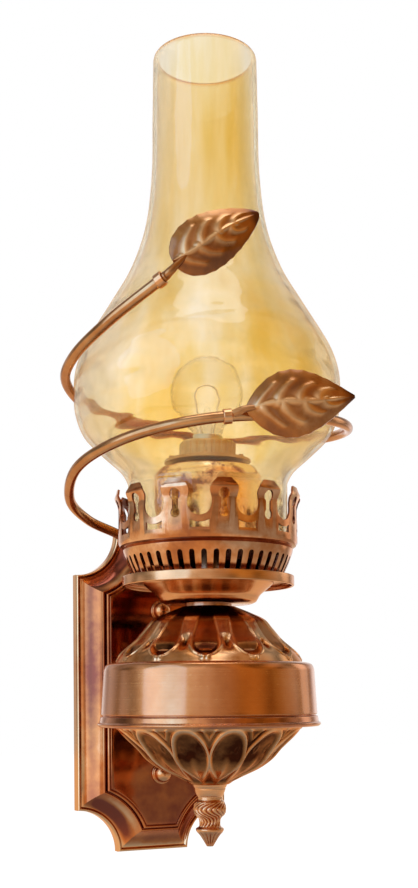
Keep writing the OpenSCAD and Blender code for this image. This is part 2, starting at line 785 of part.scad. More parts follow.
// CHIMNEY
// Swell below the belly and above it: [share of the climb, share of the swell]
below_belly = [[0, 0], [0.07, 0.012], [0.2, 0.15], [0.38, 0.5], [0.57, 0.825], [0.79, 0.975]];
above_belly = [[0, 1], [0.09, 0.985], [0.18, 0.905], [0.27, 0.765], [0.4, 0.54], [0.56, 0.28],
    [0.76, 0.085], [1, 0]];
function chimney_line() = concat(
    [[foot_r, 0]],
    [for (m = below_belly) [foot_r + m[1] * (belly_r - foot_r),
        foot_h + m[0] * (belly_h - foot_h)]],
    [for (m = above_belly) [neck_r + m[1] * (belly_r - neck_r),
        belly_h + m[0] * (neck_h - belly_h)]],
    [[(neck_r + rim_r) / 2, (neck_h + glass_h) / 2], [rim_r, glass_h]]);

module chimney() {
    line = chimney_line();
    upper = [for (i = [1:len(line) - 1]) line[i]];
    skin = concat([line[0]], smooth(upper, 4));
    back = side_step(skin, glass_t);
    e = len(skin) - 1;
    inner = [for (i = [0:e]) i == 0 ? [back[0][0], 0] : i == e ? [back[e][0], glass_h] : back[i]];
    color(amber) on_axis() translate([0, 0, glass_low])
        rotate_extrude() polygon(concat(skin, backwards(inner)));
}

// VINE
// The root passes square through the panel and climbs to the left behind the crown.
// Stations relative to the lamp's axis, with y towards the wall.
root_z = 56;
root_stations = [[0, axis_out - 6, root_z], [0, axis_out - 10, root_z],
    [0, axis_out - 14, root_z], [0, axis_out - 18.6, root_z], [-0.8, axis_out - 22, root_z + 1.6],
    [-3.8, axis_out - 23.6, root_z + 5.2], [-9.5, axis_out - 23.4, root_z + 10.4],
    [-16.8, axis_out - 22.6, root_z + 16], [-25.2, axis_out - 21.9, root_z + 21.8]];
// The coil round the glass: [angle from the left-hand side of the glass, height]
coil_stations = [[-20, 83.2], [0, 90.3], [30, 99.6], [60, 107], [90, 112.4], [120, 115.6],
    [150, 118.2], [180, 121.2], [210, 124.2], [240, 127.6], [270, 131.1], [300, 134.7],
    [330, 138.9], [360, 143.6], [385, 148.4], [410, 157.2], [433, 170.6]];
// Direction of the left-hand side of the glass, as an angle from the X axis
left_side = 154;
// The lower part of the coil runs a little closer to the axis
function coil_r(a) = vine_r - (a < 40 ? 1.6 * (40 - a) / 60 : 0) - (a < 0 ? 0.12 * -a : 0);
function coil_at(a, z, r) = [r * cos(left_side + a), r * sin(left_side + a), z];
coil = [for (s = coil_stations) coil_at(s[0], s[1], coil_r(s[0]))];
vine_route = smooth(concat(root_stations, coil), 4);

module vine_tube() {
    color(dark_copper) on_axis() swept(vine_route, vine_d / 2, 10);
}

vine_nut_af = 8;
vine_nut_t = 2.6;
module vine_nuts() {
    color(steel) on_wall() for (low = [panel_back - vine_nut_t, plate_d])
        translate([0, root_z, low]) difference() {
            hexagon(vine_nut_af, vine_nut_t);
            translate([0, 0, -over]) cylinder(d = vine_d + 4 * fit, h = vine_nut_t + 2 * over);
        }
}

// The collars sit at two stations of the coil: just before the lower leaf, and at the end
lower_collar_a = 101;
upper_collar_a = 431;
function coil_height(a) = lookup(a, coil_stations);
function coil_way(a) = unit(coil_at(a + 2, coil_height(a + 2), vine_r)
    - coil_at(a - 2, coil_height(a - 2), vine_r));
function nearest(place, i, best) = i == len(vine_route) ? best :
    nearest(place, i + 1,
        norm(vine_route[i] - place) < norm(vine_route[best] - place) ? i : best);
function route_index(a) = nearest(coil_at(a, coil_height(a), vine_r), 0, 0);
function route_way(i) = unit(vine_route[min(i + 1, len(vine_route) - 1)]
    - vine_route[max(i - 1, 0)]);
collar_l = 3.6;
collar_wall = 0.8;
module leaf_collars() {
    color(copper) on_axis() for (a = [lower_collar_a, upper_collar_a]) {
        i = route_index(a);
        facing(vine_route[i], route_way(i)) translate([0, 0, -collar_l / 2])
            ring(vine_d / 2 + 3 * fit, vine_d / 2 + collar_wall, 0, collar_l);
    }
}

// A blade: a pointed oval, bowed across, arched along, with a raised midrib. It lies in
// the frame of its place, its way from stalk to tip, and its outward side. Its fulness
// goes from 0, a lens that tapers at both ends, to 1, broad and blunt at the stalk.
function blade_half(u, f) = 0.04 + 0.97
    * pow(max(sin(180 * pow(u, 0.8 - 0.12 * f)), 0), 1 - 0.4 * f) * (1 - 0.12 * f * u);
function blade_rise(u, v, f) = -0.22 * v * v * blade_half(u, f) - 0.3 * u * u
    + 0.16 * sin(180 * u) + (v == 0 ? 0.045 : 0);
module blade(place, way, out, length, width, f) {
    rows = 16;
    cols = [-1, -0.82, -0.6, -0.36, -0.12, 0, 0.12, 0.36, 0.6, 0.82, 1];
    w = len(cols);
    along = unit(way);
    normal = unit(out - (out * along) * along);
    side = cross(along, normal);
    function at(i, v, t) = let (u = i / rows) place + along * length * u
        + side * v * blade_half(u, f) * width / 2
        + normal * (blade_rise(u, v, f) * width / 2 - t);
    points = concat([for (i = [0:rows]) for (v = cols) at(i, v, 0)],
        [for (i = [0:rows]) for (v = cols) at(i, v, leaf_t)]);
    b = (rows + 1) * w;
    top = [for (i = [0:rows - 1]) for (k = [0:w - 2]) let (a = i * w + k)
        each [[a, a + w, a + w + 1], [a, a + w + 1, a + 1]]];
    under = [for (f = top) [b + f[0], b + f[2], b + f[1]]];
    left = [for (i = [0:rows - 1]) let (a = i * w) each [[a, b + a, b + a + w], [a, b + a + w, a + w]]];
    right = [for (i = [0:rows - 1]) let (a = i * w + w - 1)
        each [[a, a + w, b + a + w], [a, b + a + w, b + a]]];
    near_end = [for (k = [0:w - 2]) each [[k, k + 1, b + k + 1], [k, b + k + 1, b + k]]];
    far_end = [for (k = [0:w - 2]) let (a = rows * w + k)
        each [[a, b + a + 1, a + 1], [a, b + a, b + a + 1]]];
    polyhedron(points, concat(top, under, left, right, near_end, far_end), convexity = 6);
}

function outward(p) = unit([p[0], p[1], 0]);
// A stalk carries each blade: it leaves the tube's end, or lies on the tube at a collar
stalk_r = 1.6;
stalk_l = 5;
socket_l = 6;
// Where the upper blade starts, from the end of the vine: to its right, and up
upper_side = 6;
upper_lift = 7;
vine_end = vine_route[len(vine_route) - 1];
end_way = route_way(len(vine_route) - 1);
image_right = [cos(left_side + 180), sin(left_side + 180), 0];
module upper_leaf() {
    foot = vine_end + end_way * 0.1;
    neck = foot + end_way * socket_l + outward(vine_end) * 0.8;
    base = vine_end + image_right * upper_side + [0, 0, upper_lift] + outward(vine_end) * 2.4;
    tip_way = unit(image_right * 1.72 + [0, 0, 1]);
    color(dark_copper) on_axis() {
        swept([foot, foot + end_way * 3, neck, base + tip_way * 0.3 * upper_leaf_l], 2, 10);
        blade(base, tip_way, outward(base + image_right * 20), upper_leaf_l, upper_leaf_w, 0.8);
    }
}

module lower_leaf() {
    i = route_index(lower_collar_a);
    way = route_way(i);
    out = outward(vine_route[i]);
    foot = vine_route[i] + way * (collar_l / 2 + 0.1) + out * (vine_d / 2 + stalk_r + 3 * fit);
    base = foot + way * stalk_l + out * 1.2 + [0, 0, 1.4];
    tip_way = unit(way + out * 0.2 + [0, 0, 0.01]);
    color(dark_copper) on_axis() {
        swept([foot, (foot + base) / 2, base, base + tip_way * 0.3 * lower_leaf_l], stalk_r, 10);
        blade(base, tip_way, out, lower_leaf_l, lower_leaf_w, 0);
    }
}

// LEADS
// From the terminal block into the pipe, through the hub and up to the holder
lead_x = 1.2;
lead_top = tube_top + 2.2;
lead_out = bar_t + block_h / 2;
function lead_route(s) = [[s * pole_x, -lead_out, block_z + block_l / 2 - 3],
    [s * pole_x, -lead_out, block_z + block_l / 2 + 2], [s * pole_x, -5.4, -11],
    [s * 3.7, -3.7, -7.2], [s * 2.7, -3.4, -4], [s * 1.8, -4.8, -1.3],
    [s * 1.3, -7.6, -0.2], [s * lead_x, -11, 0],
    [s * lead_x, -20, 0], [s * lead_x, -34, 0], [s * lead_x, -48, 0],
    [s * lead_x, 12.5 - axis_out, 0], [s * lead_x, 7.6 - axis_out, 0.5],
    [s * lead_x, 3.6 - axis_out, 2.4], [s * lead_x, 0.9 - axis_out, 6.2],
    [s * lead_x, -axis_out, 11.5], [s * lead_x, -axis_out, 24],
    [s * lead_x, -axis_out, lead_top - 20], [s * lead_x, -axis_out, lead_top]];

module live_lead() {
    color([0.45, 0.27, 0.16]) swept(smooth(lead_route(-1), 2), lead_d / 2, 8);
}

module neutral_lead() {
    color([0.2, 0.32, 0.6]) swept(smooth(lead_route(1), 2), lead_d / 2, 8);
}

earth_route = [[5.2, -bar_t - 1.1, earth_z], [8, -bar_t - 2.4, earth_z - 0.5],
    [10.4, -bar_t - 4.5, 12.5], [10.8, -9.5, 8], [9.6, -11.8, 3.6], [8.8, -12.4, 0]];
module earth_lead() {
    color([0.35, 0.6, 0.3]) swept(smooth(earth_route, 3), lead_d / 2, 8);
}

wall_plate();
mounting_bar();
mounting_studs();
cap_nuts();
terminal_block();
terminal_screws();
earth_screw();
wall_pipe();
pipe_spacer();
saddle_washer();
locknuts();
centre_hub();
upper_tube();
lower_tube();
font_dome();
font_band();
font_ring();
font_bowl();
finial();
neck_washer();
neck_cup();
dish();
slotted_basket();
crown_gallery();
holder_cover();
shade_ring();
holder_base();
holder_skirt();
screw_shell();
centre_contact();
bulb_cap();
bulb_glass();
bulb_stem();
filament();
chimney();
vine_tube();
vine_nuts();
leaf_collars();
upper_leaf();
lower_leaf();
live_lead();
neutral_lead();
earth_lead();
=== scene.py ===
"""Looks of a copper wall lamp with an amber glass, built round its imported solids.

Sizes in the classes are millimetres in the frame of the solids: the origin is the
centre of the wall plate on the wall, X to the right, -Y out of the wall, Z up.
"""

import logging
import math
from collections.abc import Callable
from dataclasses import dataclass, field
from enum import Enum
from functools import partialmethod

import bmesh
import bpy
import numpy as np
from mathutils import Matrix, Vector


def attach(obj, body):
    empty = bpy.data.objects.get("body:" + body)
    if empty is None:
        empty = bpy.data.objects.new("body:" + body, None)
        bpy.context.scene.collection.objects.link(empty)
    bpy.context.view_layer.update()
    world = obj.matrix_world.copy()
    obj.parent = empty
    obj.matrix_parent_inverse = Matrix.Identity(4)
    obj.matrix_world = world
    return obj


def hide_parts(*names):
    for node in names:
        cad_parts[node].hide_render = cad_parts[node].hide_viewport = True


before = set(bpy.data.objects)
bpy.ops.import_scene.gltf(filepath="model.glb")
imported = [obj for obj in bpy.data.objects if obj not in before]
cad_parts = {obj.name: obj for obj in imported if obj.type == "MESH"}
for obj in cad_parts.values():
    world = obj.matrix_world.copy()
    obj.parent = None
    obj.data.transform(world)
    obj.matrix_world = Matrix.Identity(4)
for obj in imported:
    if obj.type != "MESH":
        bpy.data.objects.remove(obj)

LOG = logging.getLogger("lamp")
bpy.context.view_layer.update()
MM = 0.001  # metres in a millimetre
AXIS_OUT = 71.0  # from the wall to the lamp's upright axis

# Points within these metres are merged: at the seams and poles of a new grid, and in
# the loose triangles of a solid, whose faces within FLAT degrees become one.
SEAM, SOLID_SEAM, FLAT = 1e-7, 2e-6, 0.6

# Edges that turn by more than these degrees stay sharp.
CRISP, EVEN, SOFT, ROUND = 30.0, 40.0, 50.0, 60.0

LAMP, CHIMNEY, BULB = "lamp", "chimney", "bulb"
Array = np.ndarray
Colour = tuple[float, float, float]
Line = tuple[tuple[float, float], ...]
Marks = dict[str, Array]
Mesh = bpy.types.Mesh
Object = bpy.types.Object


# Shapes


def smoothstep(low: float, high: float, x: Array) -> Array:
    """Rises from 0 at low to 1 at high: three squares less two cubes of the share."""
    t = np.clip((x - low) / (high - low), 0.0, 1.0)
    return t * t * (3.0 - 2.0 * t)


def hill(x: Array, centre: float, width: float) -> Array:
    """A bell curve of height 1: e to the power of minus the squared share of the width."""
    return np.exp(-(((x - centre) / width) ** 2))


def unit(vectors: Array) -> Array:
    """Vectors, one or one per row, brought to length 1."""
    return vectors / np.maximum(np.linalg.norm(vectors, axis=-1, keepdims=True), 1e-9)


def circle(sides: int) -> Array:
    """Even angles round a circle."""
    return np.linspace(0.0, 2 * np.pi, sides, endpoint=False)


def curve_through(stations: Array | Line, steps: int) -> Array:
    """A smooth curve through stations: one cubic per stretch, with end points doubled.

    At each station it runs along the line between the two neighbours.

    Args:
        stations: one row per station.
        steps: points per stretch.

    Returns:
        The curve's points, one row each.
    """
    p = np.asarray(stations, float)
    q = np.vstack([p[:1], p, p[-1:]])
    a, b, c, d = (q[k : k + len(p) - 1, None, :] for k in range(4))
    t = (np.arange(steps) / steps)[None, :, None]
    bend = (2 * a - 5 * b + 4 * c - d) * t**2 + (3 * b - a - 3 * c + d) * t**3
    out = 0.5 * (2 * b + (c - a) * t + bend)
    return np.vstack([out.reshape(-1, p.shape[1]), p[-1:]])


def beside(profile: Array, width: float) -> Array:
    """A profile moved sideways: each point goes square to the line of its neighbours.

    Args:
        profile: its points, one row each.
        width: how far it moves, to the left of its direction.

    Returns:
        The new points, one row each.
    """
    doubled = np.vstack([profile[:1], profile, profile[-1:]])
    way = unit(doubled[2:] - doubled[:-2])
    return profile + width * np.stack([-way[:, 1], way[:, 0]], 1)


def eased(corners: Array | list, radius: float, steps: int = 4, closed: bool = True) -> Array:
    """An outline with its corners rounded, each by an arc of a parabola.

    Args:
        corners: the outline's corners in order.
        radius: how far from the corner each arc starts, less on short sides.
        steps: points per arc.
        closed: whether the last corner joins the first. Open ends stay where they are.

    Returns:
        The outline's points, one row each.
    """
    p = np.asarray(corners, float)
    sides = [np.roll(p, shift, 0) - p for shift in (1, -1)]
    lengths = [np.linalg.norm(side, axis=1, keepdims=True) for side in sides]
    cut = np.minimum(radius, 0.45 * np.minimum(*lengths))
    start, end = (p + side / length * cut for side, length in zip(sides, lengths))
    t = np.linspace(0.0, 1.0, steps + 1)[None, :, None]
    arcs = (1 - t) ** 2 * start[:, None] + 2 * t * (1 - t) * p[:, None] + t**2 * end[:, None]
    if closed:
        return arcs.reshape(-1, 2)
    return np.vstack([p[:1], arcs[1:-1].reshape(-1, 2), p[-1:]])


def linked(name: str, data: bpy.types.ID) -> Object:
    """A new object in the scene.

    Args:
        name: its name.
        data: its mesh, light or camera.

    Returns:
        The new object.
    """
    obj = bpy.data.objects.new(name, data)
    bpy.context.scene.collection.objects.link(obj)
    return obj


def shade(mesh: Mesh, crease: float) -> None:
    """Makes a mesh smooth, but sharp where faces turn by more than crease degrees."""
    mesh.shade_smooth()
    mesh.set_sharp_from_angle(angle=math.radians(crease))


def weld(mesh: Mesh, distance: float, flat: float = 0.0) -> None:
    """Merges points that lie close together, and faces that are nearly flat.

    Args:
        mesh: the mesh to change.
        distance: points within it are merged, in metres. It closes seams and poles.
        flat: faces that turn by less than these degrees are merged, if above 0.
    """
    work = bmesh.new()
    work.from_mesh(mesh)
    bmesh.ops.remove_doubles(work, verts=work.verts, dist=distance)
    if flat:
        limit = math.radians(flat)
        bmesh.ops.dissolve_limit(work, angle_limit=limit, verts=work.verts, edges=work.edges)
    else:
        bmesh.ops.dissolve_degenerate(work, edges=work.edges, dist=distance)
    work.to_mesh(mesh)
    work.free()


def surface(
    name: str,
    points: Array,
    wrap_rows: bool,
    crease: float,
    marks: Marks | None = None,
    wrap_cols: bool = True,
) -> Object:
    """A mesh of quads over a grid of points.

    Args:
        name: the piece's name.
        points: rows x columns x 3, in millimetres. Seen from outside, rows go up and
            columns go to the right.
        wrap_rows: whether the last row joins the first.
        crease: edges that turn by more than these degrees stay sharp.
        marks: values per point or per row, stored as attributes for the materials.
        wrap_cols: whether the last column joins the first.

    Returns:
        The new object, at the origin.
    """
    rows, cols = points.shape[:2]
    i = np.arange(rows if wrap_rows else rows - 1)[:, None]
    j = np.arange(cols if wrap_cols else cols - 1)[None, :]
    up, right = (i + 1) % rows, (j + 1) % cols
    corners = (i * cols + j, i * cols + right, up * cols + right, up * cols + j)
    quads = np.stack(corners, -1).astype(np.int32).reshape(-1)
    mesh = bpy.data.meshes.new(name)
    mesh.vertices.add(rows * cols)
    mesh.vertices.foreach_set("co", (points.reshape(-1) * MM).astype(np.float32))
    mesh.loops.add(quads.size)
    mesh.loops.foreach_set("vertex_index", quads)
    mesh.polygons.add(quads.size // 4)
    mesh.polygons.foreach_set("loop_start", np.arange(0, quads.size, 4, dtype=np.int32))
    mesh.update(calc_edges=True)
    for key, values in (marks or {}).items():
        spread = np.broadcast_to(values, (rows, cols)).reshape(-1)
        layer = mesh.attributes.new(key, "FLOAT", "POINT")
        layer.data.foreach_set("value", spread.astype(np.float32))
    weld(mesh, SEAM)
    shade(mesh, crease)
    return linked(name, mesh)


def spun(r: Array, z: Array, angles: Array) -> Array:
    """A grid of points at radii and heights, rows x angles, about the lamp's axis."""
    x, y = r * np.cos(angles), r * np.sin(angles) - AXIS_OUT
    return np.stack(np.broadcast_arrays(x, y, z), -1)


def turned(
    name: str, loop: Array, sides: int, crease: float, marks: Marks | None = None
) -> Object:
    """A closed outline of [radius, height] points, carried round the lamp's axis."""
    return surface(name, spun(loop[:, :1], loop[:, 1:], circle(sides)), True, crease, marks)


def joined(parts: list[Object], name: str) -> Object:
    """One object that holds the meshes of several.

    Args:
        parts: the objects, which are removed.
        name: the new object's name.

    Returns:
        The new object.
    """
    work = bmesh.new()
    for part in parts:
        work.from_mesh(part.data)
        bpy.data.objects.remove(part)
    mesh = bpy.data.meshes.new(name)
    work.to_mesh(mesh)
    work.free()
    shade(mesh, SOFT)
    return linked(name, mesh)


def tube(name: str, route: Array, radii: Array | float, sides: int) -> Object:
    """A round bar along a route, closed at both ends.

    At each station the ring lies in the plane of two vectors square to the route. The
    first is carried from station to station by taking out its part along the route.

    Args:
        name: the piece's name.
        route: stations, n x 3.
        radii: radius at each station.
        sides: points round the bar.

    Returns:
        The new object.
    """
    way = unit(np.gradient(route, axis=0))
    side = np.cross(way[0], [0.0, 0.0, 1.0])
    across = []
    for direction in way:
        side = unit(side - direction * (side @ direction))
        across.append(side)
    u, v = np.array(across)[:, None], np.cross(way, across)[:, None]
    a = circle(sides)[None, :, None]
    rings = route[:, None] + np.reshape(radii, (-1, 1, 1)) * (np.cos(a) * u + np.sin(a) * v)
    start, end = (np.broadcast_to(route[k], (1, sides, 3)) for k in (0, -1))
    return surface(name, np.vstack([start, rings, end]), False, ROUND)


def softened(node: str, name: str, edge: float, angle: float) -> Object:
    """A copy of a solid's mesh with flat faces merged and its edges rounded.

    Args:
        node: the solid's node.
        name: the copy's name.
        edge: width of the rounding, in millimetres.
        angle: edges that turn by more than these degrees are rounded.

    Returns:
        The copy.
    """
    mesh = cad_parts[node].data.copy()
    mesh.name = name
    mesh.materials.clear()
    weld(mesh, SOLID_SEAM, FLAT)
    if "custom_normal" in mesh.attributes:
        mesh.attributes.remove(mesh.attributes["custom_normal"])
    shade(mesh, angle)
    obj = linked(name, mesh)
    if edge > 0:
        bevel = obj.modifiers.new("soft_edges", "BEVEL")
        bevel.width = edge * MM
        bevel.segments = 2
        bevel.limit_method = "ANGLE"
        bevel.angle_limit = math.radians(angle)
        bevel.harden_normals = False
    return obj


def mark_cuts(mesh: Mesh) -> None:
    """Marks the faces of a shell round the axis that don't look outwards, its cut edges, with
    painted shade.

    A face's mark falls from 0 to -1 as the share of its normal that points away from
    the lamp's axis falls from 0.7 to 0.3. The marks go into the attribute "relief".

    Args:
        mesh: the shell's mesh.
    """
    normals, centres = np.empty((2, len(mesh.polygons) * 3), np.float32)
    mesh.polygons.foreach_get("normal", normals)
    mesh.polygons.foreach_get("center", centres)
    away = unit(centres.reshape(-1, 3)[:, :2] + [0.0, AXIS_OUT * MM])
    outwards = (normals.reshape(-1, 3)[:, :2] * away).sum(1)
    # Painted shade on the cut walls.
    layer = mesh.attributes.new("relief", "FLOAT", "FACE")
    layer.data.foreach_set("value", (smoothstep(0.3, 0.7, outwards) - 1.0).astype(np.float32))


# Shader graphs


class Slope(Enum):
    """How a value goes from one end of a range to the other."""

    SMOOTH = "SMOOTHSTEP"
    STRAIGHT = "LINEAR"


class Value:
    """What a node gives out. Arithmetic on it places Math nodes."""

    def __init__(self, graph: "Graph", socket: bpy.types.NodeSocket) -> None:
        """Keeps the graph and the output's socket."""
        self.graph, self.socket = graph, socket

    def maths(self, operation: str, other: object) -> "Value":
        """The result of a Math node on this value and another, or a number."""
        return self.graph.add("Math", {0: self, 1: other}, operation=operation)[0]

    __add__ = partialmethod(maths, "ADD")
    __sub__ = partialmethod(maths, "SUBTRACT")
    __mul__ = partialmethod(maths, "MULTIPLY")
    __pow__ = partialmethod(maths, "POWER")
    max = partialmethod(maths, "MAXIMUM")

    def clamped(self) -> "Value":
        """The value held between 0 and 1."""
        return self.graph.add("Clamp", {0: self})[0]


class Node:
    """A placed node, read by the number or the name of an output."""

    def __init__(self, graph: "Graph", node: bpy.types.Node) -> None:
        """Keeps the graph and the node."""
        self.graph, self.node = graph, node

    def __getitem__(self, output: int | str) -> Value:
        """The value of an output."""
        return Value(self.graph, self.node.outputs[output])


class Graph:
    """A short way to place and link nodes in a material, a world or a group."""

    def __init__(self, tree: bpy.types.NodeTree) -> None:
        """Empties the tree that the nodes go into."""
        self.tree = tree
        tree.nodes.clear()

    def add(self, kind: str, inputs: dict | None = None, **settings: object) -> Node:
        """Places a node.

        Args:
            kind: the node's Blender type, without the word ShaderNode.
            inputs: values or numbers for its inputs, by name or number.
            settings: the node's own properties.

        Returns:
            The node.
        """
        node = self.tree.nodes.new("ShaderNode" + kind)
        for key, value in settings.items():
            setattr(node, key, value)
        for key, value in (inputs or {}).items():
            self.feed(node.inputs[key], value)
        return Node(self, node)

    def feed(self, socket: bpy.types.NodeSocket, value: object) -> None:
        """Links a value into a socket, or sets what the socket holds.

        Args:
            socket: a node's input.
            value: a value, a number, a colour or a vector.
        """
        if isinstance(value, Value):
            self.tree.links.new(value.socket, socket)
        elif isinstance(value, tuple) and socket.type == "RGBA":
            socket.default_value = (*value, 1.0)
        else:
            socket.default_value = value

    def ramp(self, value: Value, *stops: tuple[float, Colour]) -> Value:
        """The colour of a ramp at a value.

        Args:
            value: where the ramp is read.
            stops: its places and their colours.

        Returns:
            The colour.
        """
        node = self.add("ValToRGB", {"Fac": value})
        elements = node.node.color_ramp.elements
        while len(elements) < len(stops):
            elements.new(0.5)
        for element, (place, colour) in zip(elements, stops):
            element.position, element.color = place, (*colour, 1.0)
        return node["Color"]

    def mix(self, share: Value, first: object, second: object) -> Value:
        """The first colour blended into the second."""
        return self.add("Mix", {0: share, 6: first, 7: second}, data_type="RGBA")[2]

    def span(
        self,
        value: Value,
        ends: tuple[float, float],
        results: tuple[float, float] = (0.0, 1.0),
        slope: Slope = Slope.SMOOTH,
    ) -> Value:
        """A value carried from one range to another, and held beyond its ends.

        Args:
            value: the value.
            ends: the range that it comes from.
            results: what it gives at the two ends.
            slope: how it goes from one to the other.

        Returns:
            The result.
        """
        names = ("From Min", "From Max", "To Min", "To Max")
        inputs = {"Value": value, **dict(zip(names, (*ends, *results)))}
        return self.add("MapRange", inputs, interpolation_type=slope.value)[0]

    def noise(self, place: Value, scale: object, detail: object, rough: float = 0.5) -> Value:
        """Noise at a place."""
        inputs = {"Vector": place, "Scale": scale, "Detail": detail, "Roughness": rough}
        return self.add("TexNoise", inputs)["Fac"]

    def bump(self, height: Value, strength: object, distance: float = 0.0003) -> Value:
        """The normal of a bumpy skin."""
        inputs = {"Height": height, "Strength": strength, "Distance": distance}
        return self.add("Bump", inputs)[0]

    def attribute(self, name: str) -> Value:
        """A mesh attribute, 0 where a mesh has none."""
        return self.add("Attribute", attribute_name=name)["Fac"]


def effect(
    name: str, inputs: dict[str, object], make: Callable[[Graph, Node], dict[str, Value]]
) -> bpy.types.NodeTree:
    """A node group that several materials can use.

    Args:
        name: the group's name.
        inputs: the inputs and their defaults, three numbers for a vector.
        make: places the group's nodes and gives back what it puts out, by name.

    Returns:
        The group.
    """
    tree = bpy.data.node_groups.new(name, "ShaderNodeTree")
    g, sockets = Graph(tree), tree.interface
    for key, default in inputs.items():
        kind = "NodeSocketVector" if isinstance(default, tuple) else "NodeSocketFloat"
        socket = sockets.new_socket(key, in_out="INPUT", socket_type=kind)
        socket.default_value = default
    results = make(g, Node(g, tree.nodes.new("NodeGroupInput")))
    for key in results:
        sockets.new_socket(key, in_out="OUTPUT", socket_type="NodeSocketFloat")
    end = tree.nodes.new("NodeGroupOutput")
    for key, value in results.items():
        g.feed(end.inputs[key], value)
    return tree


def tarnish_clouds(g: Graph, start: Node) -> dict[str, Value]:
    """Two noises of different grain, pushed apart by Contrast.

    Args:
        g: the group's graph.
        start: the group's inputs.

    Returns:
        The clouds' mask and the finer noise.
    """
    wide = g.noise(start["Vector"], start["Scale"], 4.0, 0.6)
    fine = g.noise(start["Vector"], start["Scale"] * 9.0, 3.0, 0.7)
    spread = (fine * 0.15 + wide * 0.85 - 0.5) * start["Contrast"]
    return {"Mask": (spread * 3.0 + 0.5).clamped(), "Grain": fine}


def brushed_lines(g: Graph, start: Node) -> dict[str, Value]:
    """Noise at a place whose X, Y and Z are first multiplied by the stretches.

    Args:
        g: the group's graph.
        start: the group's inputs.

    Returns:
        The lines.
    """
    inputs = {0: start["Vector"], 1: start["Stretch"]}
    place = g.add("VectorMath", inputs, operation="MULTIPLY")[0]
    return {"Lines": g.noise(place, 1.0, start["Detail"], 0.6)}


class Effects:
    """The node groups that the finishes share, each built once."""

    def __init__(self) -> None:
        """Builds the groups."""
        shared = {"Vector": (0.0, 0.0, 0.0)}
        clouds = {**shared, "Scale": 30.0, "Contrast": 1.0}
        lines = {**shared, "Stretch": (1.0, 1.0, 1.0), "Detail": 5.0}
        self.clouds = effect("tarnish_clouds", clouds, tarnish_clouds)
        self.lines = effect("brushed_lines", lines, brushed_lines)


class Grain(Enum):
    """Stretches of noise along X, Y and Z, for brushed metal and for blown glass."""

    ROUND = (14.0, 14.0, 2600.0)
    UPRIGHT = (900.0, 900.0, 24.0)
    CAST = (420.0, 420.0, 420.0)
    STREAKS = (34.0, 34.0, 5.0)
    WAVES = (26.0, 26.0, 72.0)


class Surfacing(Graph):
    """The graph of a new material, with the place in Object coordinates."""

    def __init__(self, name: str, effects: Effects | None = None) -> None:
        """Makes the empty material.

        Args:
            name: its name.
            effects: the node groups, where they are used.
        """
        self.material = bpy.data.materials.new(name)
        self.material.use_nodes = True
        super().__init__(self.material.node_tree)
        self.effects = effects
        self.place = self.add("TexCoord")["Object"]

    def clouds(self, scale: float, contrast: float) -> Node:
        """Clouds of tarnish, with the outputs Mask and Grain."""
        inputs = {"Vector": self.place, "Scale": scale, "Contrast": contrast}
        return self.add("Group", inputs, node_tree=self.effects.clouds)

    def lines(self, grain: Grain, detail: float = 5.0) -> Value:
        """Lines of a grain."""
        inputs = {"Vector": self.place, "Stretch": grain.value, "Detail": detail}
        return self.add("Group", inputs, node_tree=self.effects.lines)["Lines"]

    def end(self, surface_value: Value) -> bpy.types.Material:
        """The material, with its surface set."""
        self.add("OutputMaterial", {"Surface": surface_value})
        return self.material


class Finish:
    """A finish that can make its material, and names the CAD slot that it stands for."""

    name: str
    slot: str = ""

    def material(self, effects: Effects) -> bpy.types.Material:
        """The finish as a material."""
        g = Surfacing(self.name, effects)
        return g.end(self.shader(g))

    def shader(self, g: Surfacing) -> Value:
        """The finish's shader."""
        raise NotImplementedError


@dataclass(frozen=True)
class CopperFinish(Finish):
    """Copper with random tarnish clouds and brushed lines, darker in its hollows by painted shade
    and lighter on raised parts by painted highlight.

    Three weights move the tone between dark and light: lines for the brushed lines, tarnish for
    the clouds, and a third for the mark "relief", which holds painted shade and painted
    highlight. lean moves all of it. scale is how fine the clouds are, grazing the colour at a
    slant, lacquer the clear coat's weight.
    """

    name: str
    light: Colour = (0.76, 0.41, 0.18)
    middle: Colour = (0.60, 0.20, 0.04)
    dark: Colour = (0.26, 0.05, 0.007)
    slot: str = "antique_copper"
    roughness: float = 0.2
    grain: Grain = Grain.ROUND
    lines: float = 0.1
    tarnish: float = 0.5
    scale: float = 32.0
    painted_light: float = 0.0
    bump: float = 0.05
    lean: float = 0.0
    grazing: Colour = (0.95, 0.72, 0.60)
    lacquer: float = 0.7
    lacquer_ior: float = 1.75

    def shader(self, g: Surfacing) -> Value:
        """The ramp from dark to light is read at tarnish plus lines plus the mark "relief",
        painted shade and highlight.

        Args:
            g: the material's graph.

        Returns:
            The shader.
        """
        clouds = g.clouds(self.scale, self.tarnish)
        lines = g.lines(self.grain) - 0.5
        tone = lines * (self.lines * 2.0) + clouds["Mask"] + self.lean
        # The mark "relief" is painted light: shade in hollows, grooves and cut walls, highlight
        # on raised parts.
        if self.painted_light:
            tone = g.attribute("relief") * self.painted_light + tone
        stops = (0.0, self.dark), (0.5, self.middle), (1.0, self.light)
        rough = lines * 0.12 + (clouds["Grain"] * 0.08 + (self.roughness - 0.04))
        skin = lines * self.lines + clouds["Grain"] * 0.3
        inputs = {
            "Base Color": g.ramp(tone.clamped(), *stops),
            "Metallic": 1.0,
            "Specular Tint": self.grazing,
            "Roughness": rough,
            "Normal": g.bump(skin, self.bump),
            "Coat Weight": self.lacquer,
            "Coat Roughness": 0.12,
            "Coat IOR": self.lacquer_ior,
        }
        return g.add("BsdfPrincipled", inputs)[0]


@dataclass(frozen=True)
class MetalFinish(CopperFinish):
    """Plain steel, brass or tungsten of the hidden fittings."""

    slot: str = ""
    grazing: Colour = (1.0, 1.0, 1.0)


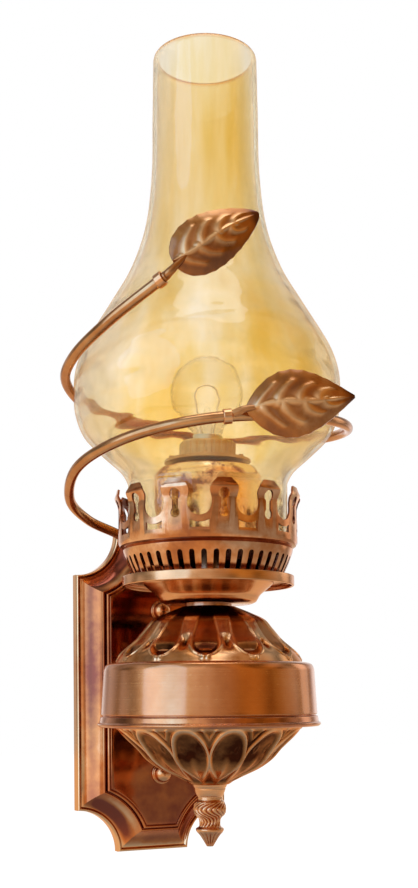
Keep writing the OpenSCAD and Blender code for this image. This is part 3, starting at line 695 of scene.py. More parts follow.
@dataclass(frozen=True)
class GlassFinish(Finish):
    """Blown glass: a little uneven, tinted, and open to light for what stands in it."""

    name: str
    tint: Colour
    deep: Colour
    edge: Colour
    shade: Colour
    waves: float = 0.0
    veil: float = 0.95
    ior: float = 1.45
    open_least: float = 0.0
    haze: Colour = (0.97, 0.905, 0.80)
    brink: Colour = (0.80, 0.62, 0.42)
    roughness: float = 0.03
    shade_to_right: float = 8.0
    calm: tuple[float, float] = (0.15, 0.215)
    cut: Colour = (0.62, 0.34, 0.14)

    def shader(self, g: Surfacing) -> Value:
        """The tint drifts in upright streaks and deepens towards the glass's right side, a
        painted shade. Towards the outline it turns to the edge colour, which on the amber glass
        is paler: a painted reflection.

        Waves bend the view and fade between the two heights in calm, in metres. The
        attribute "cut" darkens the top rim. Faces that look aside are open to what lies
        behind, through a haze that turns to the brink's colour near the outline.

        Args:
            g: the material's graph.

        Returns:
            The shader.
        """
        streaks = g.lines(Grain.STREAKS) * 3.4 + -1.2
        along = g.add("SeparateXYZ", {0: g.place})
        # Painted shade: the tint deepens towards the glass's right side.
        drift = (along[0] * -self.shade_to_right + streaks).clamped()
        body = g.ramp(drift, (0.1, self.deep), (0.9, self.tint))
        facing = g.add("LayerWeight", {"Blend": 0.35})["Facing"]
        # Towards the outline the edge colour, paler on the amber glass: a painted reflection.
        tint = g.mix(facing**2.0, body, self.edge)
        waves = g.lines(Grain.WAVES, 1.0)
        swell = g.span(along[2], self.calm, (self.waves, self.waves * 0.12))
        inputs = {
            "Base Color": g.mix(g.attribute("cut"), tint, self.cut),
            "Transmission Weight": 1.0,
            "IOR": self.ior,
            "Roughness": self.roughness,
            "Normal": g.bump(waves, swell, 0.003),
        }
        glass = g.add("BsdfPrincipled", inputs)[0]
        shadow = g.add("LightPath")["Is Shadow Ray"]
        outer = g.span(facing, (0.56, 0.86), slope=Slope.STRAIGHT)
        haze = g.mix(outer, self.haze, self.brink)
        clear = g.add("BsdfTransparent", {"Color": g.mix(shadow, haze, self.shade)})[0]
        veil = (facing**1.5 * self.veil).max(self.open_least)
        return g.add("MixShader", {0: shadow.max(veil), 1: glass, 2: clear})[0]


@dataclass(frozen=True)
class MouldedFinish(Finish):
    """Moulded plastic or ceramic with a fine skin."""

    name: str
    light: Colour
    dark: Colour
    slot: str = ""
    roughness: float = 0.25

    def shader(self, g: Surfacing) -> Value:
        """Two near colours over fine clouds, with a pebbled skin.

        Args:
            g: the material's graph.

        Returns:
            The shader.
        """
        clouds = g.clouds(60.0, 0.6)
        inputs = {
            "Base Color": g.ramp(clouds["Mask"], (0.2, self.dark), (0.8, self.light)),
            "Roughness": clouds["Grain"] * 0.12 + (self.roughness - 0.06),
            "Normal": g.bump(clouds["Grain"], 0.08),
        }
        return g.add("BsdfPrincipled", inputs)[0]


FINISHES: tuple[Finish, ...] = (
    CopperFinish(
        "plate_copper", (0.80, 0.44, 0.20), (0.58, 0.17, 0.03), (0.24, 0.035, 0.005),
        roughness=0.12, grain=Grain.CAST, lines=0.02, tarnish=0.9, scale=20.0, painted_light=0.55,
        bump=0.015, lacquer=0.4,
    ),
    CopperFinish(
        "brushed_copper", roughness=0.25, lines=0.08, tarnish=0.3, bump=0.02, lacquer=0.8
    ),
    CopperFinish("ring_copper", tarnish=0.8, lean=-0.22),
    CopperFinish("spun_copper", roughness=0.23, tarnish=0.4, lean=0.25, lacquer=0.5),
    # Copper colour made paler and lighter, partly a painted reflection of the window on the
    # pierced pieces.
    CopperFinish(
        "cast_copper", (0.90, 0.55, 0.30), (0.54, 0.175, 0.035), (0.2, 0.035, 0.005),
        grain=Grain.CAST, lines=0.06, tarnish=0.8, painted_light=0.6, bump=0.08, lean=0.06,
        lacquer=0.4,
    ),
    CopperFinish(
        "chased_copper", (0.86, 0.52, 0.28), (0.56, 0.21, 0.06), (0.06, 0.012, 0.004),
        grain=Grain.CAST, lines=0.05, painted_light=0.58, lean=0.14, lacquer=0.0,
    ),
    CopperFinish(
        "leaf_copper", (0.72, 0.39, 0.16), (0.38, 0.125, 0.018), (0.10, 0.02, 0.005),
        "dark_copper", 0.3, Grain.CAST, 0.03, 0.6, painted_light=0.5, bump=0.02, lean=0.06,
        lacquer=0.4,
    ),
    CopperFinish(
        "vine_copper", (0.66, 0.36, 0.15), (0.46, 0.18, 0.045), (0.17, 0.04, 0.01),
        "dark_copper", 0.2, Grain.CAST, 0.05, 0.6, lean=0.08, lacquer=0.4,
    ),
    CopperFinish(
        "finial_copper", slot="dark_copper", roughness=0.24, lines=0.08, painted_light=0.4, lean=0.25
    ),
    CopperFinish(
        "dark_copper", (0.52, 0.24, 0.10), (0.32, 0.10, 0.028), (0.11, 0.025, 0.007),
        "dark_copper", 0.24, lean=0.45,
    ),
    # Pale tones and strong fine clouds: painted reflections, the mottled glare on the cover seen
    # through the glass.
    CopperFinish(
        "cover_copper", (0.95, 0.80, 0.58), (0.80, 0.56, 0.32), (0.34, 0.11, 0.03),
        "dark_copper", lines=0.05, tarnish=3.0, scale=90.0,
    ),
    MetalFinish(
        "zinc_steel", (0.72, 0.73, 0.75), (0.55, 0.56, 0.58), (0.38, 0.39, 0.40),
        roughness=0.36, grain=Grain.UPRIGHT, lines=0.3, tarnish=0.6,
    ),
    MetalFinish(
        "machined_brass", (0.90, 0.72, 0.38), (0.74, 0.54, 0.24), (0.50, 0.33, 0.12),
        roughness=0.28, lines=0.4,
    ),
    MetalFinish(
        "tungsten_wire", (0.86, 0.84, 0.80), (0.78, 0.76, 0.72), (0.66, 0.64, 0.60),
        roughness=0.5, lines=0.25, tarnish=0.4,
    ),
    GlassFinish(
        "amber_glass", (0.96, 0.87, 0.70), (0.86, 0.64, 0.20), (0.99, 0.92, 0.85),
        (0.96, 0.88, 0.68), waves=0.8,
    ),
    GlassFinish(
        "clear_glass", (0.97, 0.97, 0.95), (0.95, 0.95, 0.93), (0.93, 0.92, 0.88),
        (0.98, 0.98, 0.97), veil=0.8, ior=1.06, open_least=0.6, haze=(0.985, 0.975, 0.96),
        brink=(0.9, 0.85, 0.76),
    ),
    MouldedFinish("brown_moulding", (0.16, 0.07, 0.035), (0.06, 0.025, 0.012)),
    # Tan on a part whose slot is black moulding: a painted reflection on the shade ring.
    MouldedFinish("tan_moulding", (0.66, 0.43, 0.22), (0.48, 0.27, 0.12), "black_moulding"),
    # Ivory on a part whose slot is black moulding: a painted reflection on the ribbed skirt.
    MouldedFinish("ivory_moulding", (0.68, 0.50, 0.30), (0.50, 0.32, 0.16), "black_moulding"),
    MouldedFinish("white_moulding", (0.86, 0.85, 0.80), (0.74, 0.73, 0.68), roughness=0.35),
    MouldedFinish("brown_sleeve", (0.30, 0.15, 0.07), (0.22, 0.10, 0.05), roughness=0.5),
    MouldedFinish("blue_sleeve", (0.06, 0.14, 0.45), (0.04, 0.10, 0.34), roughness=0.5),
    MouldedFinish("green_sleeve", (0.16, 0.42, 0.10), (0.11, 0.30, 0.07), roughness=0.5),
)


@dataclass(frozen=True)
class Coat:
    """A made finish: its material and the name of the CAD slot that it stands for."""

    material: bpy.types.Material
    slot: str


Coats = dict[str, Coat]


def make_coats() -> Coats:
    """All the finishes of the lamp, made once each, by name."""
    effects = Effects()
    return {f.name: Coat(f.material(effects), f.slot or f.name) for f in FINISHES}


# Sub-assemblies


@dataclass
class SubAssembly:
    """Pieces that are built together and dressed together."""

    coats: Coats
    pieces: list[str] = field(default_factory=list, init=False)

    def build(self) -> None:
        """Builds and dresses the pieces."""
        raise NotImplementedError

    def place(self, obj: Object, finish: str, node: str, body: str = LAMP) -> None:
        """Gives a new piece its material and body, and hides the node that it stands for.

        Args:
            obj: the piece.
            finish: the name of its finish.
            node: the node that it stands for.
            body: the body that it rides on.
        """
        coat = self.coats[finish]
        obj.data.materials.clear()
        obj.data.materials.append(coat.material)
        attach(obj, body)
        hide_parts(node)
        self.pieces.append(obj.name)

    def soften(
        self,
        node: str,
        suffix: str,
        finish: str,
        edge: float = 0.0,
        body: str = LAMP,
        angle: float = EVEN,
        cuts: bool = False,
    ) -> None:
        """Places a softened copy of a solid.

        Args:
            node: the solid's node.
            suffix: what the copy's name has after the node's.
            finish: the name of its finish.
            edge: width of the rounding, in millimetres.
            body: the body that it rides on.
            angle: edges that turn by more than these degrees are rounded.
            cuts: whether its cut edges get painted shade, through the mark "relief".
        """
        obj = softened(node, f"{node}_{suffix}", edge, angle)
        if cuts:
            mark_cuts(obj.data)
        self.place(obj, finish, node, body)

    def dress(self, finish: str, *nodes: str) -> None:
        """Gives solids that stay as they are a better material.

        Args:
            finish: the name of the finish.
            nodes: the solids' nodes.
        """
        for node in nodes:
            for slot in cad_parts[node].material_slots:
                slot.material = self.coats[finish].material
            self.pieces.append(node)


@dataclass
class WallPlate(SubAssembly):
    """The scooped plate and what fastens it."""

    width: float = 82.0
    height: float = 161.4
    depth: float = 15.4
    scoop: float = 21.7
    edge_h: float = 4.8
    mould_w: float = 14.3
    sheet: float = 1.0
    nut_edge: float = 0.25
    steel_edge: float = 0.2
    block_edge: float = 0.3

    # The cove in shares of its width and height, and the crest, groove and bead in
    # millimetres from the panel's edge and face.
    COVE = (
        (0, 0.05), (0.05, 0.04), (0.24, 0.13), (0.46, 0.3), (0.66, 0.5), (0.84, 0.74), (1, 1),
    )
    CREST = (
        (-3.5, -2.2), (-3, -2), (-2.6, -2.2), (-2.5, -3.2), (-2.1, -3.2), (-1.9, -0.7),
        (-1.5, -0.1), (-0.9, -0.1), (-0.6, -0.7), (-0.4, -0.7), (-0.2, 0), (1.5, 0),
    )

    def outline(self, inset: Array) -> Array:
        """The scooped outline, moved inwards.

        Each corner is an arc round the plate's corner. Its radius grows with the inset,
        and it ends where it meets the sides, which move in by the same length.

        Args:
            inset: how far in from the rim, one value per outline.

        Returns:
            Insets x points x 2: x and z, counter-clockwise seen from the front.
        """
        d = inset[:, None]
        half_w, half_h = self.width / 2, self.height / 2
        radius = self.scoop + d
        lean = np.arcsin(d / radius)
        sweep = np.pi / 2 + lean + (np.pi / 2 - 2 * lean) * np.linspace(0.0, 1.0, 25)[None, :]
        x, z = half_w + radius * np.cos(sweep), half_h - radius * np.sin(sweep)
        side = np.linspace(-1.0, 1.0, 14)[None, 1:-1]
        right = np.stack([half_w - d + 0 * side, z[:, :1] * side], -1)
        top = np.stack([-x[:, -1:] * side, half_h - d + 0 * side], -1)
        other = np.stack([-x[:, ::-1], z[:, ::-1]], -1)
        half = np.concatenate([right, np.stack([x, z], -1), top, other], 1)
        return np.concatenate([half, -half], 1)

    def pressed(self) -> Object:
        """The plate: a profile of inset and height, carried round the scooped outline.

        From the rim in, the profile has a round lip, a hollow cove, a crest, a groove
        and a bead. The marks paint a highlight on the lip and shade in the cove's foot and the
        grooves, and in the middle of the scoops shade in the cove and a highlight near the crest.

        Returns:
            The new object.
        """
        w, d, h = self.mould_w, self.depth, self.edge_h
        cove = np.array(self.COVE) * [w - 5.6, d - h - 2.1] + [1.9, h - 0.6]
        lip = [(0.0, 0.0), (0.0, h - 0.8), (0.2, h + 0.2), (0.7, h + 0.7), (1.3, h + 0.6)]
        corners = np.vstack([lip, curve_through(cove, 4), np.array(self.CREST) + [w, d]])
        face = eased(corners, 0.35, 3, closed=False)
        under = np.maximum(beside(face, -self.sheet), 0.0)
        under[0] = [self.sheet, 0.0]
        insets, heights = np.concatenate([under[::-1], face]).T
        rim = self.outline(insets)
        rows = np.insert(rim, 1, -heights[:, None], axis=2)
        shrink = np.linspace(0.0, 0.9, 10)[:, None, None]
        inside = rows[:1] * [1, 0, 1] * shrink + [0, -heights[0], 0]
        outside = rows[-1:] * [1, 0, 1] * (0.9 - shrink) + [0, -heights[-1], 0]
        grid = np.concatenate([inside, rows, outside])
        inwards = np.pad(insets, 10, constant_values=w)[:, None]
        # Painted light: a highlight on the lip, shade in the cove's foot and the two grooves; the
        # panel a little darker.
        marks = 0.05 + 0.9 * smoothstep(4.5, 1.2, inwards) - 0.6 * hill(inwards, 6.6, 2.4)
        marks = marks - 0.9 * hill(inwards, w - 2.3, 0.35) - 0.6 * hill(inwards, w - 0.5, 0.2)
        marks = marks - 0.35 * smoothstep(w - 0.6, w, inwards)
        arc = np.sin(np.linspace(0.0, np.pi, 25))
        scoops = np.tile(np.concatenate([np.zeros(12), arc]), 4)
        # In the middle of the scoops: painted shade in the cove and a painted highlight near the
        # crest.
        dim = 2.2 * hill(inwards, 4.6, 2.8) - 0.9 * hill(inwards, 9.2, 1.2)
        return surface("wall_plate_pressed", grid, False, CRISP, {"relief": marks - dim * scoops})

    def build(self) -> None:
        """The plate, nuts and washers with softened edges, and the hidden steel."""
        self.place(self.pressed(), "plate_copper", "wall_plate")
        self.soften("cap_nuts", "domed", "spun_copper", self.nut_edge)
        self.soften("mounting_bar", "punched", "zinc_steel", self.steel_edge)
        self.soften("vine_nuts", "chamfered", "zinc_steel", self.steel_edge)
        self.soften("terminal_block", "moulded", "white_moulding", self.block_edge)
        self.dress("zinc_steel", "mounting_studs", "saddle_washer", "locknuts")
        self.dress("machined_brass", "terminal_screws", "earth_screw", "wall_pipe")
        self.dress("spun_copper", "pipe_spacer")
        for colour, lead in (("brown", "live"), ("blue", "neutral"), ("green", "earth")):
            self.dress(f"{colour}_sleeve", f"{lead}_lead")


@dataclass
class Font(SubAssembly):
    """The round font: dome, band, ring, bowl and finial."""

    band_r: float = 50.2
    band_draw: float = 1.3
    band_top: float = 13.3
    band_low: float = -10.5
    ring_step: float = 1.6
    ring_h: float = 5.5
    mouth_r: float = 43.4
    dome_h: float = 26.1
    bowl_h: float = 26.9
    wall: float = 0.9
    tube_r: float = 5.05
    lobes: int = 12
    dome_turn: float = 2.0
    bowl_turn: float = 19.0
    finial_r: float = 7.7
    finial_h: float = 28.9
    sides: int = 720
    plain_sides: int = 288
    finial_sides: int = 480

    # Meridians away from the band, in shares of the radius and of the height.
    DOME_LINE = (
        (1, 0), (0.943, 0.15), (0.858, 0.29), (0.768, 0.425), (0.68, 0.6),
        (0.595, 0.762), (0.45, 0.885), (0.288, 1),
    )
    BOWL_LINE = (
        (1, 0), (0.894, 0.19), (0.77, 0.385), (0.67, 0.57), (0.535, 0.725),
        (0.36, 0.862), (0.21, 1),
    )
    FINIAL_LINE = (
        (1.07, 0), (0.9, 0.13), (0.76, 0.235), (0.9, 0.29), (1, 0.385), (0.93, 0.48),
        (0.7, 0.545), (0.64, 0.6), (0.66, 0.675), (0.84, 0.715), (0.8, 0.765),
        (0.62, 0.82), (0.4, 0.91), (0.2, 1),
    )

    def build(self) -> None:
        """Builds the five pieces of the font from the top down."""
        dome = self.chased(
            "font_dome_chased", self.DOME_LINE, self.dome_h, self.dome_turn, self.flutes,
            (0.6, 1.0),
        )
        self.place(dome, "chased_copper", "font_dome")
        self.place(self.band(), "brushed_copper", "font_band")
        self.place(self.ring(), "ring_copper", "font_ring")
        bowl = self.chased(
            "font_bowl_chased", self.BOWL_LINE, -self.bowl_h, self.bowl_turn, self.petals,
            (0.75, 1.4),
        )
        self.place(bowl, "chased_copper", "font_bowl")
        self.place(self.finial(), "finial_copper", "finial")
        self.dress("machined_brass", "centre_hub", "lower_tube")
        self.dress("dark_copper", "upper_tube")

    @staticmethod
    def flutes(a: Array, s: Array) -> Array:
        """Relief of the dome, in millimetres.

        Scooped flutes run down from the top and end in a round U. Each has a raised rim
        and is deepest just above the U. A fan stands between two flutes, with a small
        hollow at its head, and over that hollow a petal swells up to the top. Each form
        is a product of smooth steps and bell curves of the two places.

        Args:
            a: how far round from a flute's centre, in half pitches, -1 to 1.
            s: share of the height, 0 at the foot.

        Returns:
            Height of the relief, outwards.
        """
        foot, bend = 0.1, 0.22
        half = 0.5 + 0.14 * smoothstep(0.08, 0.35, s) - 0.22 * smoothstep(0.45, 0.95, s)
        drop = np.clip((foot + bend - s) / bend, 0.0, 0.999)
        half = half * np.sqrt(1.0 - drop**2)
        fan, past = 1.0 - np.abs(a), np.abs(a) - half
        inside = smoothstep(0.06, -0.1, past) * smoothstep(foot - 0.01, foot + 0.1, s)
        scoop = inside * (1.0 - 0.5 * (a / 0.8) ** 2) * (0.45 + 1.9 * hill(s, foot + 0.07, 0.11))
        rim = hill(past, 0.06, 0.09) * (0.35 + 0.65 * hill(s, foot + 0.08, 0.22))
        apex = hill(fan, 0.0, 0.12) * hill(s, foot + 0.2, 0.07)
        swell = np.clip(1.0 - (fan / (1.02 - half)) ** 2, 0.0, 1.0)
        swell = swell * smoothstep(0.32, 0.5, s) * smoothstep(1.0, 0.7, s)
        fade = smoothstep(1.0, 0.9, s) * smoothstep(0.0, 0.05, s)
        return (0.8 * rim - scoop - 1.6 * apex + 0.9 * swell) * fade

    @staticmethod
    def petals(a: Array, s: Array) -> Array:
        """Relief of the bowl, in millimetres.

        Hollow oval petals stand between ridges that rise from the bottom and arch over
        the petals. A narrow channel lies between two ridges, under a small raised V.
        Each form is a product of smooth steps and bell curves of the two places, or of
        the distance from the oval's centre as a share of its size.

        Args:
            a: how far round from a petal's centre, in half pitches, -1 to 1.
            s: share of the depth, 0 at the ring.

        Returns:
            Height of the relief, outwards.
        """
        centre, tall = 0.47, 0.42
        wide = 0.8 + 0.26 * smoothstep(0.15, 0.75, s)
        oval = np.sqrt(((s - centre) / tall) ** 2 + (a / wide) ** 2)
        hollow = smoothstep(1.0, 0.8, oval)
        line = hill(oval, 1.03, 0.075) * smoothstep(0.93, 0.8, s)
        channel = smoothstep(1.04, 1.22, oval) * smoothstep(0.03, 0.08, s)
        vee = hill(1.0 - np.abs(a) - 1.6 * (0.2 - s), 0.0, 0.07) * smoothstep(0.24, 0.19, s)
        curl = hill(np.hypot(np.abs(a) - 0.42, (s - 0.36) * 2.2), 0.12, 0.06)
        keel = hill(a, 0.0, 0.2) * smoothstep(0.35, 0.6, s)
        fade = smoothstep(0.99, 0.9, s) * smoothstep(0.0, 0.05, s)
        deep = 1.5 - 0.9 * smoothstep(0.4, 0.75, s)
        low = 0.5 * hollow * keel + 0.35 * curl - deep * hollow - 1.1 * channel
        return (low + 0.45 * line + 0.8 * vee) * fade

    def chased(
        self,
        name: str,
        line: Line,
        height: float,
        turn: float,
        relief: Callable[[Array, Array], Array],
        dim: tuple[float, float],
    ) -> Object:
        """A domed shell with a relief on its outside.

        The radius is the meridian's at that height plus the relief. The inside follows
        the meridian, one wall thinner, and the last row closes in to the tube.

        Args:
            name: the piece's name.
            line: meridian stations, as shares of the mouth's radius and of the height.
            height: height of the shell, below zero for a bowl.
            turn: angle of one pattern's centre, in degrees.
            relief: height of the pattern, a function of place round and up.
            dim: shares of the height between which the surface darkens: on the dome painted shade
                under the neck cup, on the bowl darker towards the bottom.

        Returns:
            The new object.
        """
        base = self.band_top if height > 0 else self.band_low - self.ring_h
        wall = math.copysign(self.wall, height)
        skin = curve_through(line, 14) * [self.mouth_r, height]
        share = skin[:, 1:] / height
        angles = circle(self.sides)[None, :]
        a = ((np.degrees(angles) - turn) * self.lobes / 180.0 + 1.0) % 2.0 - 1.0
        pattern = relief(a, share)
        inner = beside(skin, wall) - [0.8, 0.0]
        inner[0, 1] = 0.0
        inner[-1] = [self.tube_r, height - wall]
        inner = np.vstack([[self.tube_r, height], inner[::-7]])
        outer = skin[:, :1] + pattern
        outer[0] = skin[0, 0]
        r = np.vstack([outer, np.repeat(inner[:, :1], self.sides, 1)])
        z = np.concatenate([skin[:, 1:], inner[:, 1:]]) + base
        marks = np.zeros_like(r)
        # Painted shade in the relief's hollows, painted highlight on its raised parts, and darker
        # between the shares in dim.
        marks[: len(skin)] = np.clip(pattern / 1.2, -1.0, 0.5) - 1.7 * smoothstep(*dim, share)
        up = 1 if height > 0 else -1
        return surface(name, spun(r, z, angles)[::up], True, SOFT, {"relief": marks[::up]})

    def band(self) -> Object:
        """The band: a spun wall that turns in at its top, with eased corners.

        Returns:
            The new object.
        """
        r, t, out = self.band_r - self.band_draw, self.wall, self.band_r
        top, low, lap = self.band_top, self.band_low, self.mouth_r - 1.8
        corners = [
            (lap, top), (lap, top - t), (r - 3.0, top - t), (r - t, top - 3.0), (out - t, low),
            (out, low), (out - 0.04, low + 1.2), (r + 0.02, top - 3.2), (r - 0.9, top - 0.9),
            (r - 3.2, top),
        ]
        return turned("font_band_spun", eased(corners, 0.9, 5), self.plain_sides, EVEN)

    def ring(self) -> Object:
        """The stepped ring under the band.

        Returns:
            The new object.
        """
        out, low, top = self.band_r + self.ring_step, self.band_low - self.ring_h, self.band_low
        mouth, band, seat = self.mouth_r - 1.6, self.band_r, self.band_r - 1.0
        corners = [
            (mouth, low), (out - 0.9, low), (out, low + 0.9), (out, low + 1.6),
            (out - 0.9, low + 2.1), (band + 0.25, top - 0.8), (band - 0.6, top - 0.5),
            (band - 0.6, top), (seat, top), (seat, top + 2.0), (seat - 1.0, top + 2.0),
            (seat - 1.0, low + 3.6), (seat - 3.6, low + 1.2), (mouth, low + 1.2),
        ]
        return turned("font_ring_spun", eased(corners, 0.45), self.plain_sides, EVEN)

    def finial(self) -> Object:
        """The turned drop: its line, less curved flutes on its ball and straight ones below.

        Both flutes are rectified sine waves of the angle, and the ball's lean with a
        sine of the height.

        Returns:
            The new object.
        """
        line = curve_through(self.FINIAL_LINE, 12)
        s, angles = line[:, 1:], circle(self.finial_sides)[None, :]
        swirl = np.sin(9 * (angles + 0.5 * np.sin(2 * np.pi * (s - 0.3) / 0.4)))
        ball = smoothstep(0.27, 0.33, s) * smoothstep(0.7, 0.64, s)
        tip = smoothstep(0.745, 0.8, s) * smoothstep(1.0, 0.93, s)
        straight = np.abs(np.sin(8 * angles))
        pattern = 0.8 * (np.abs(swirl) ** 0.6 - 1.0) * ball + 0.6 * (straight - 1.0) * tip
        grooves = 0.25 * (hill(s, 0.06, 0.012) + hill(s, 0.2, 0.012))
        poles = ((1, 1), (0, 0))
        r = np.pad(line[:, :1] * self.finial_r + pattern - grooves, poles)
        low = self.band_low - self.ring_h - self.bowl_h
        grid = spun(r, low - self.finial_h * np.pad(s, poles, "edge"), angles)
        # Painted shade in the flutes.
        marks = np.pad(pattern, poles) * 2.2
        return surface("finial_fluted", grid[::-1], False, SOFT, {"relief": marks[::-1]})


@dataclass
class Burner(SubAssembly):
    """Neck, dish, slotted basket and pierced crown."""

    wall: float = 0.9
    dome_top: float = 39.4
    neck_t: float = 1.4
    cup_h: float = 10.0
    cup_r: float = 30.3
    dish_r: float = 39.9
    lip_h: float = 4.6
    tube_r: float = 5.05
    cup_sides: int = 240
    dish_sides: int = 288
    basket_edge: float = 0.18
    crown_edge: float = 0.32
    edge_turn: float = 35.0

    def build(self) -> None:
        """Builds the stack from the neck up to the crown."""
        self.dress("dark_copper", "neck_washer")
        self.place(self.cup(), "spun_copper", "neck_cup")
        self.place(self.dish(), "spun_copper", "dish")
        pierced = {"slotted_basket": self.basket_edge, "crown_gallery": self.crown_edge}
        for node, edge in pierced.items():
            self.soften(node, "pierced", "cast_copper", edge, angle=self.edge_turn, cuts=True)

    def cup(self) -> Object:
        """The neck cup: a spun bowl with a round foot.

        Returns:
            The new object.
        """
        low, foot, high = self.dome_top + self.neck_t, self.cup_r * 0.71, self.cup_h
        stations = (
            (foot - 1.2, 0.0), (foot + 0.6, 0.8), (foot + 1.6, 2.2), (foot + 2.9, 0.42 * high),
            (self.cup_r - 2.0, 0.75 * high), (self.cup_r, high - 0.8), (self.cup_r, high),
        )
        line = np.vstack([[self.tube_r, 0.0], curve_through(stations, 6)])
        inner = beside(line, self.wall)
        inner[-1, 1] = high
        loop = np.vstack([line, inner[::-1]]) + [0, low]
        return turned("neck_cup_spun", loop, self.cup_sides, EVEN)

    def dish(self) -> Object:
        """The dish: a thin floor with a round-edged lip.

        Returns:
            The new object.
        """
        floor, r, middle = self.dome_top + self.neck_t + self.cup_h, self.dish_r, self.tube_r
        low, bed = floor - 0.45 * self.lip_h, floor + self.wall
        top = low + self.lip_h
        corners = [
            (middle, floor), (r - 1.2, floor), (r - 1.2, low), (r, low), (r, top),
            (r - 1.2, top), (r - 1.2, bed), (middle, bed),
        ]
        return turned("dish_spun", eased(corners, 0.55), self.dish_sides, SOFT)


@dataclass
class Chimney(SubAssembly):
    """The amber glass."""

    low: float = 67.9
    tall: float = 226.0
    foot_r: float = 37.0
    foot_h: float = 26.0
    belly_r: float = 61.6
    belly_h: float = 69.3
    neck_r: float = 25.0
    neck_h: float = 172.0
    rim_r: float = 23.9
    wall: float = 2.0
    sides: int = 256

    # Foot to belly and belly to neck, in shares of the radii and heights between them.
    BELOW = ((0, 0), (0.012, 0.07), (0.15, 0.2), (0.5, 0.38), (0.825, 0.57), (0.975, 0.79))
    ABOVE = (
        (1, 0), (0.985, 0.09), (0.905, 0.18), (0.765, 0.27), (0.54, 0.4), (0.28, 0.56),
        (0.085, 0.76), (0, 1),
    )

    def build(self) -> None:
        """The glass: a smooth meridian with an even wall and round rims."""
        foot, belly = np.array([self.foot_r, self.foot_h]), [self.belly_r, self.belly_h]
        neck, rim = np.array([self.neck_r, self.neck_h]), np.array([self.rim_r, self.tall])
        lower = foot + np.array(self.BELOW) * (belly - foot)
        upper = [self.neck_r, self.belly_h] + np.array(self.ABOVE) * [
            self.belly_r - self.neck_r, self.neck_h - self.belly_h
        ]
        skin = curve_through(np.vstack([lower, upper, (neck + rim) / 2, rim]), 10)
        skin = np.vstack([[self.foot_r, 0.0], skin])
        skin[:, 0] = np.minimum(skin[:, 0], self.belly_r)
        inner = beside(skin, self.wall)
        inner[0, 1], inner[-1, 1] = 0.0, self.tall
        ease = self.wall * 0.3
        near, far = [ease * 0.3, ease], [ease, 0.0]
        loop = np.vstack([
            skin[0] - [far, [near[0], -near[1]]], skin[1:-1], skin[-1] - [near, far],
            inner[-1] + [far, [near[0], -near[1]]], inner[-2:0:-1], inner[0] + [near, far],
        ])
        cut = smoothstep(self.tall - 1.6, self.tall - 0.6, loop[:, 1:])
        loop = loop + [0.0, self.low]
        glass = turned("chimney_blown", loop, self.sides, ROUND, {"cut": cut})
        self.place(glass, "amber_glass", "chimney", CHIMNEY)


@dataclass
class LampHolder(SubAssembly):
    """What stands inside the glass: cover, holder and bulb."""

    ring_edge: float = 0.25
    skirt_edge: float = 0.2
    cap_edge: float = 0.2

    def build(self) -> None:
        """Softened copies of the turned pieces, and the bulb."""
        self.soften("holder_cover", "spun", "cover_copper")
        self.soften("shade_ring", "moulded", "tan_moulding", self.ring_edge)
        self.soften("holder_skirt", "ribbed", "ivory_moulding", self.skirt_edge)
        self.dress("brown_moulding", "holder_base")
        self.dress("machined_brass", "screw_shell", "centre_contact")
        self.soften("bulb_cap", "rolled", "zinc_steel", self.cap_edge, BULB)
        self.soften("bulb_glass", "blown", "clear_glass", body=BULB, angle=SOFT)
        self.dress("clear_glass", "bulb_stem")
        self.dress("tungsten_wire", "filament")


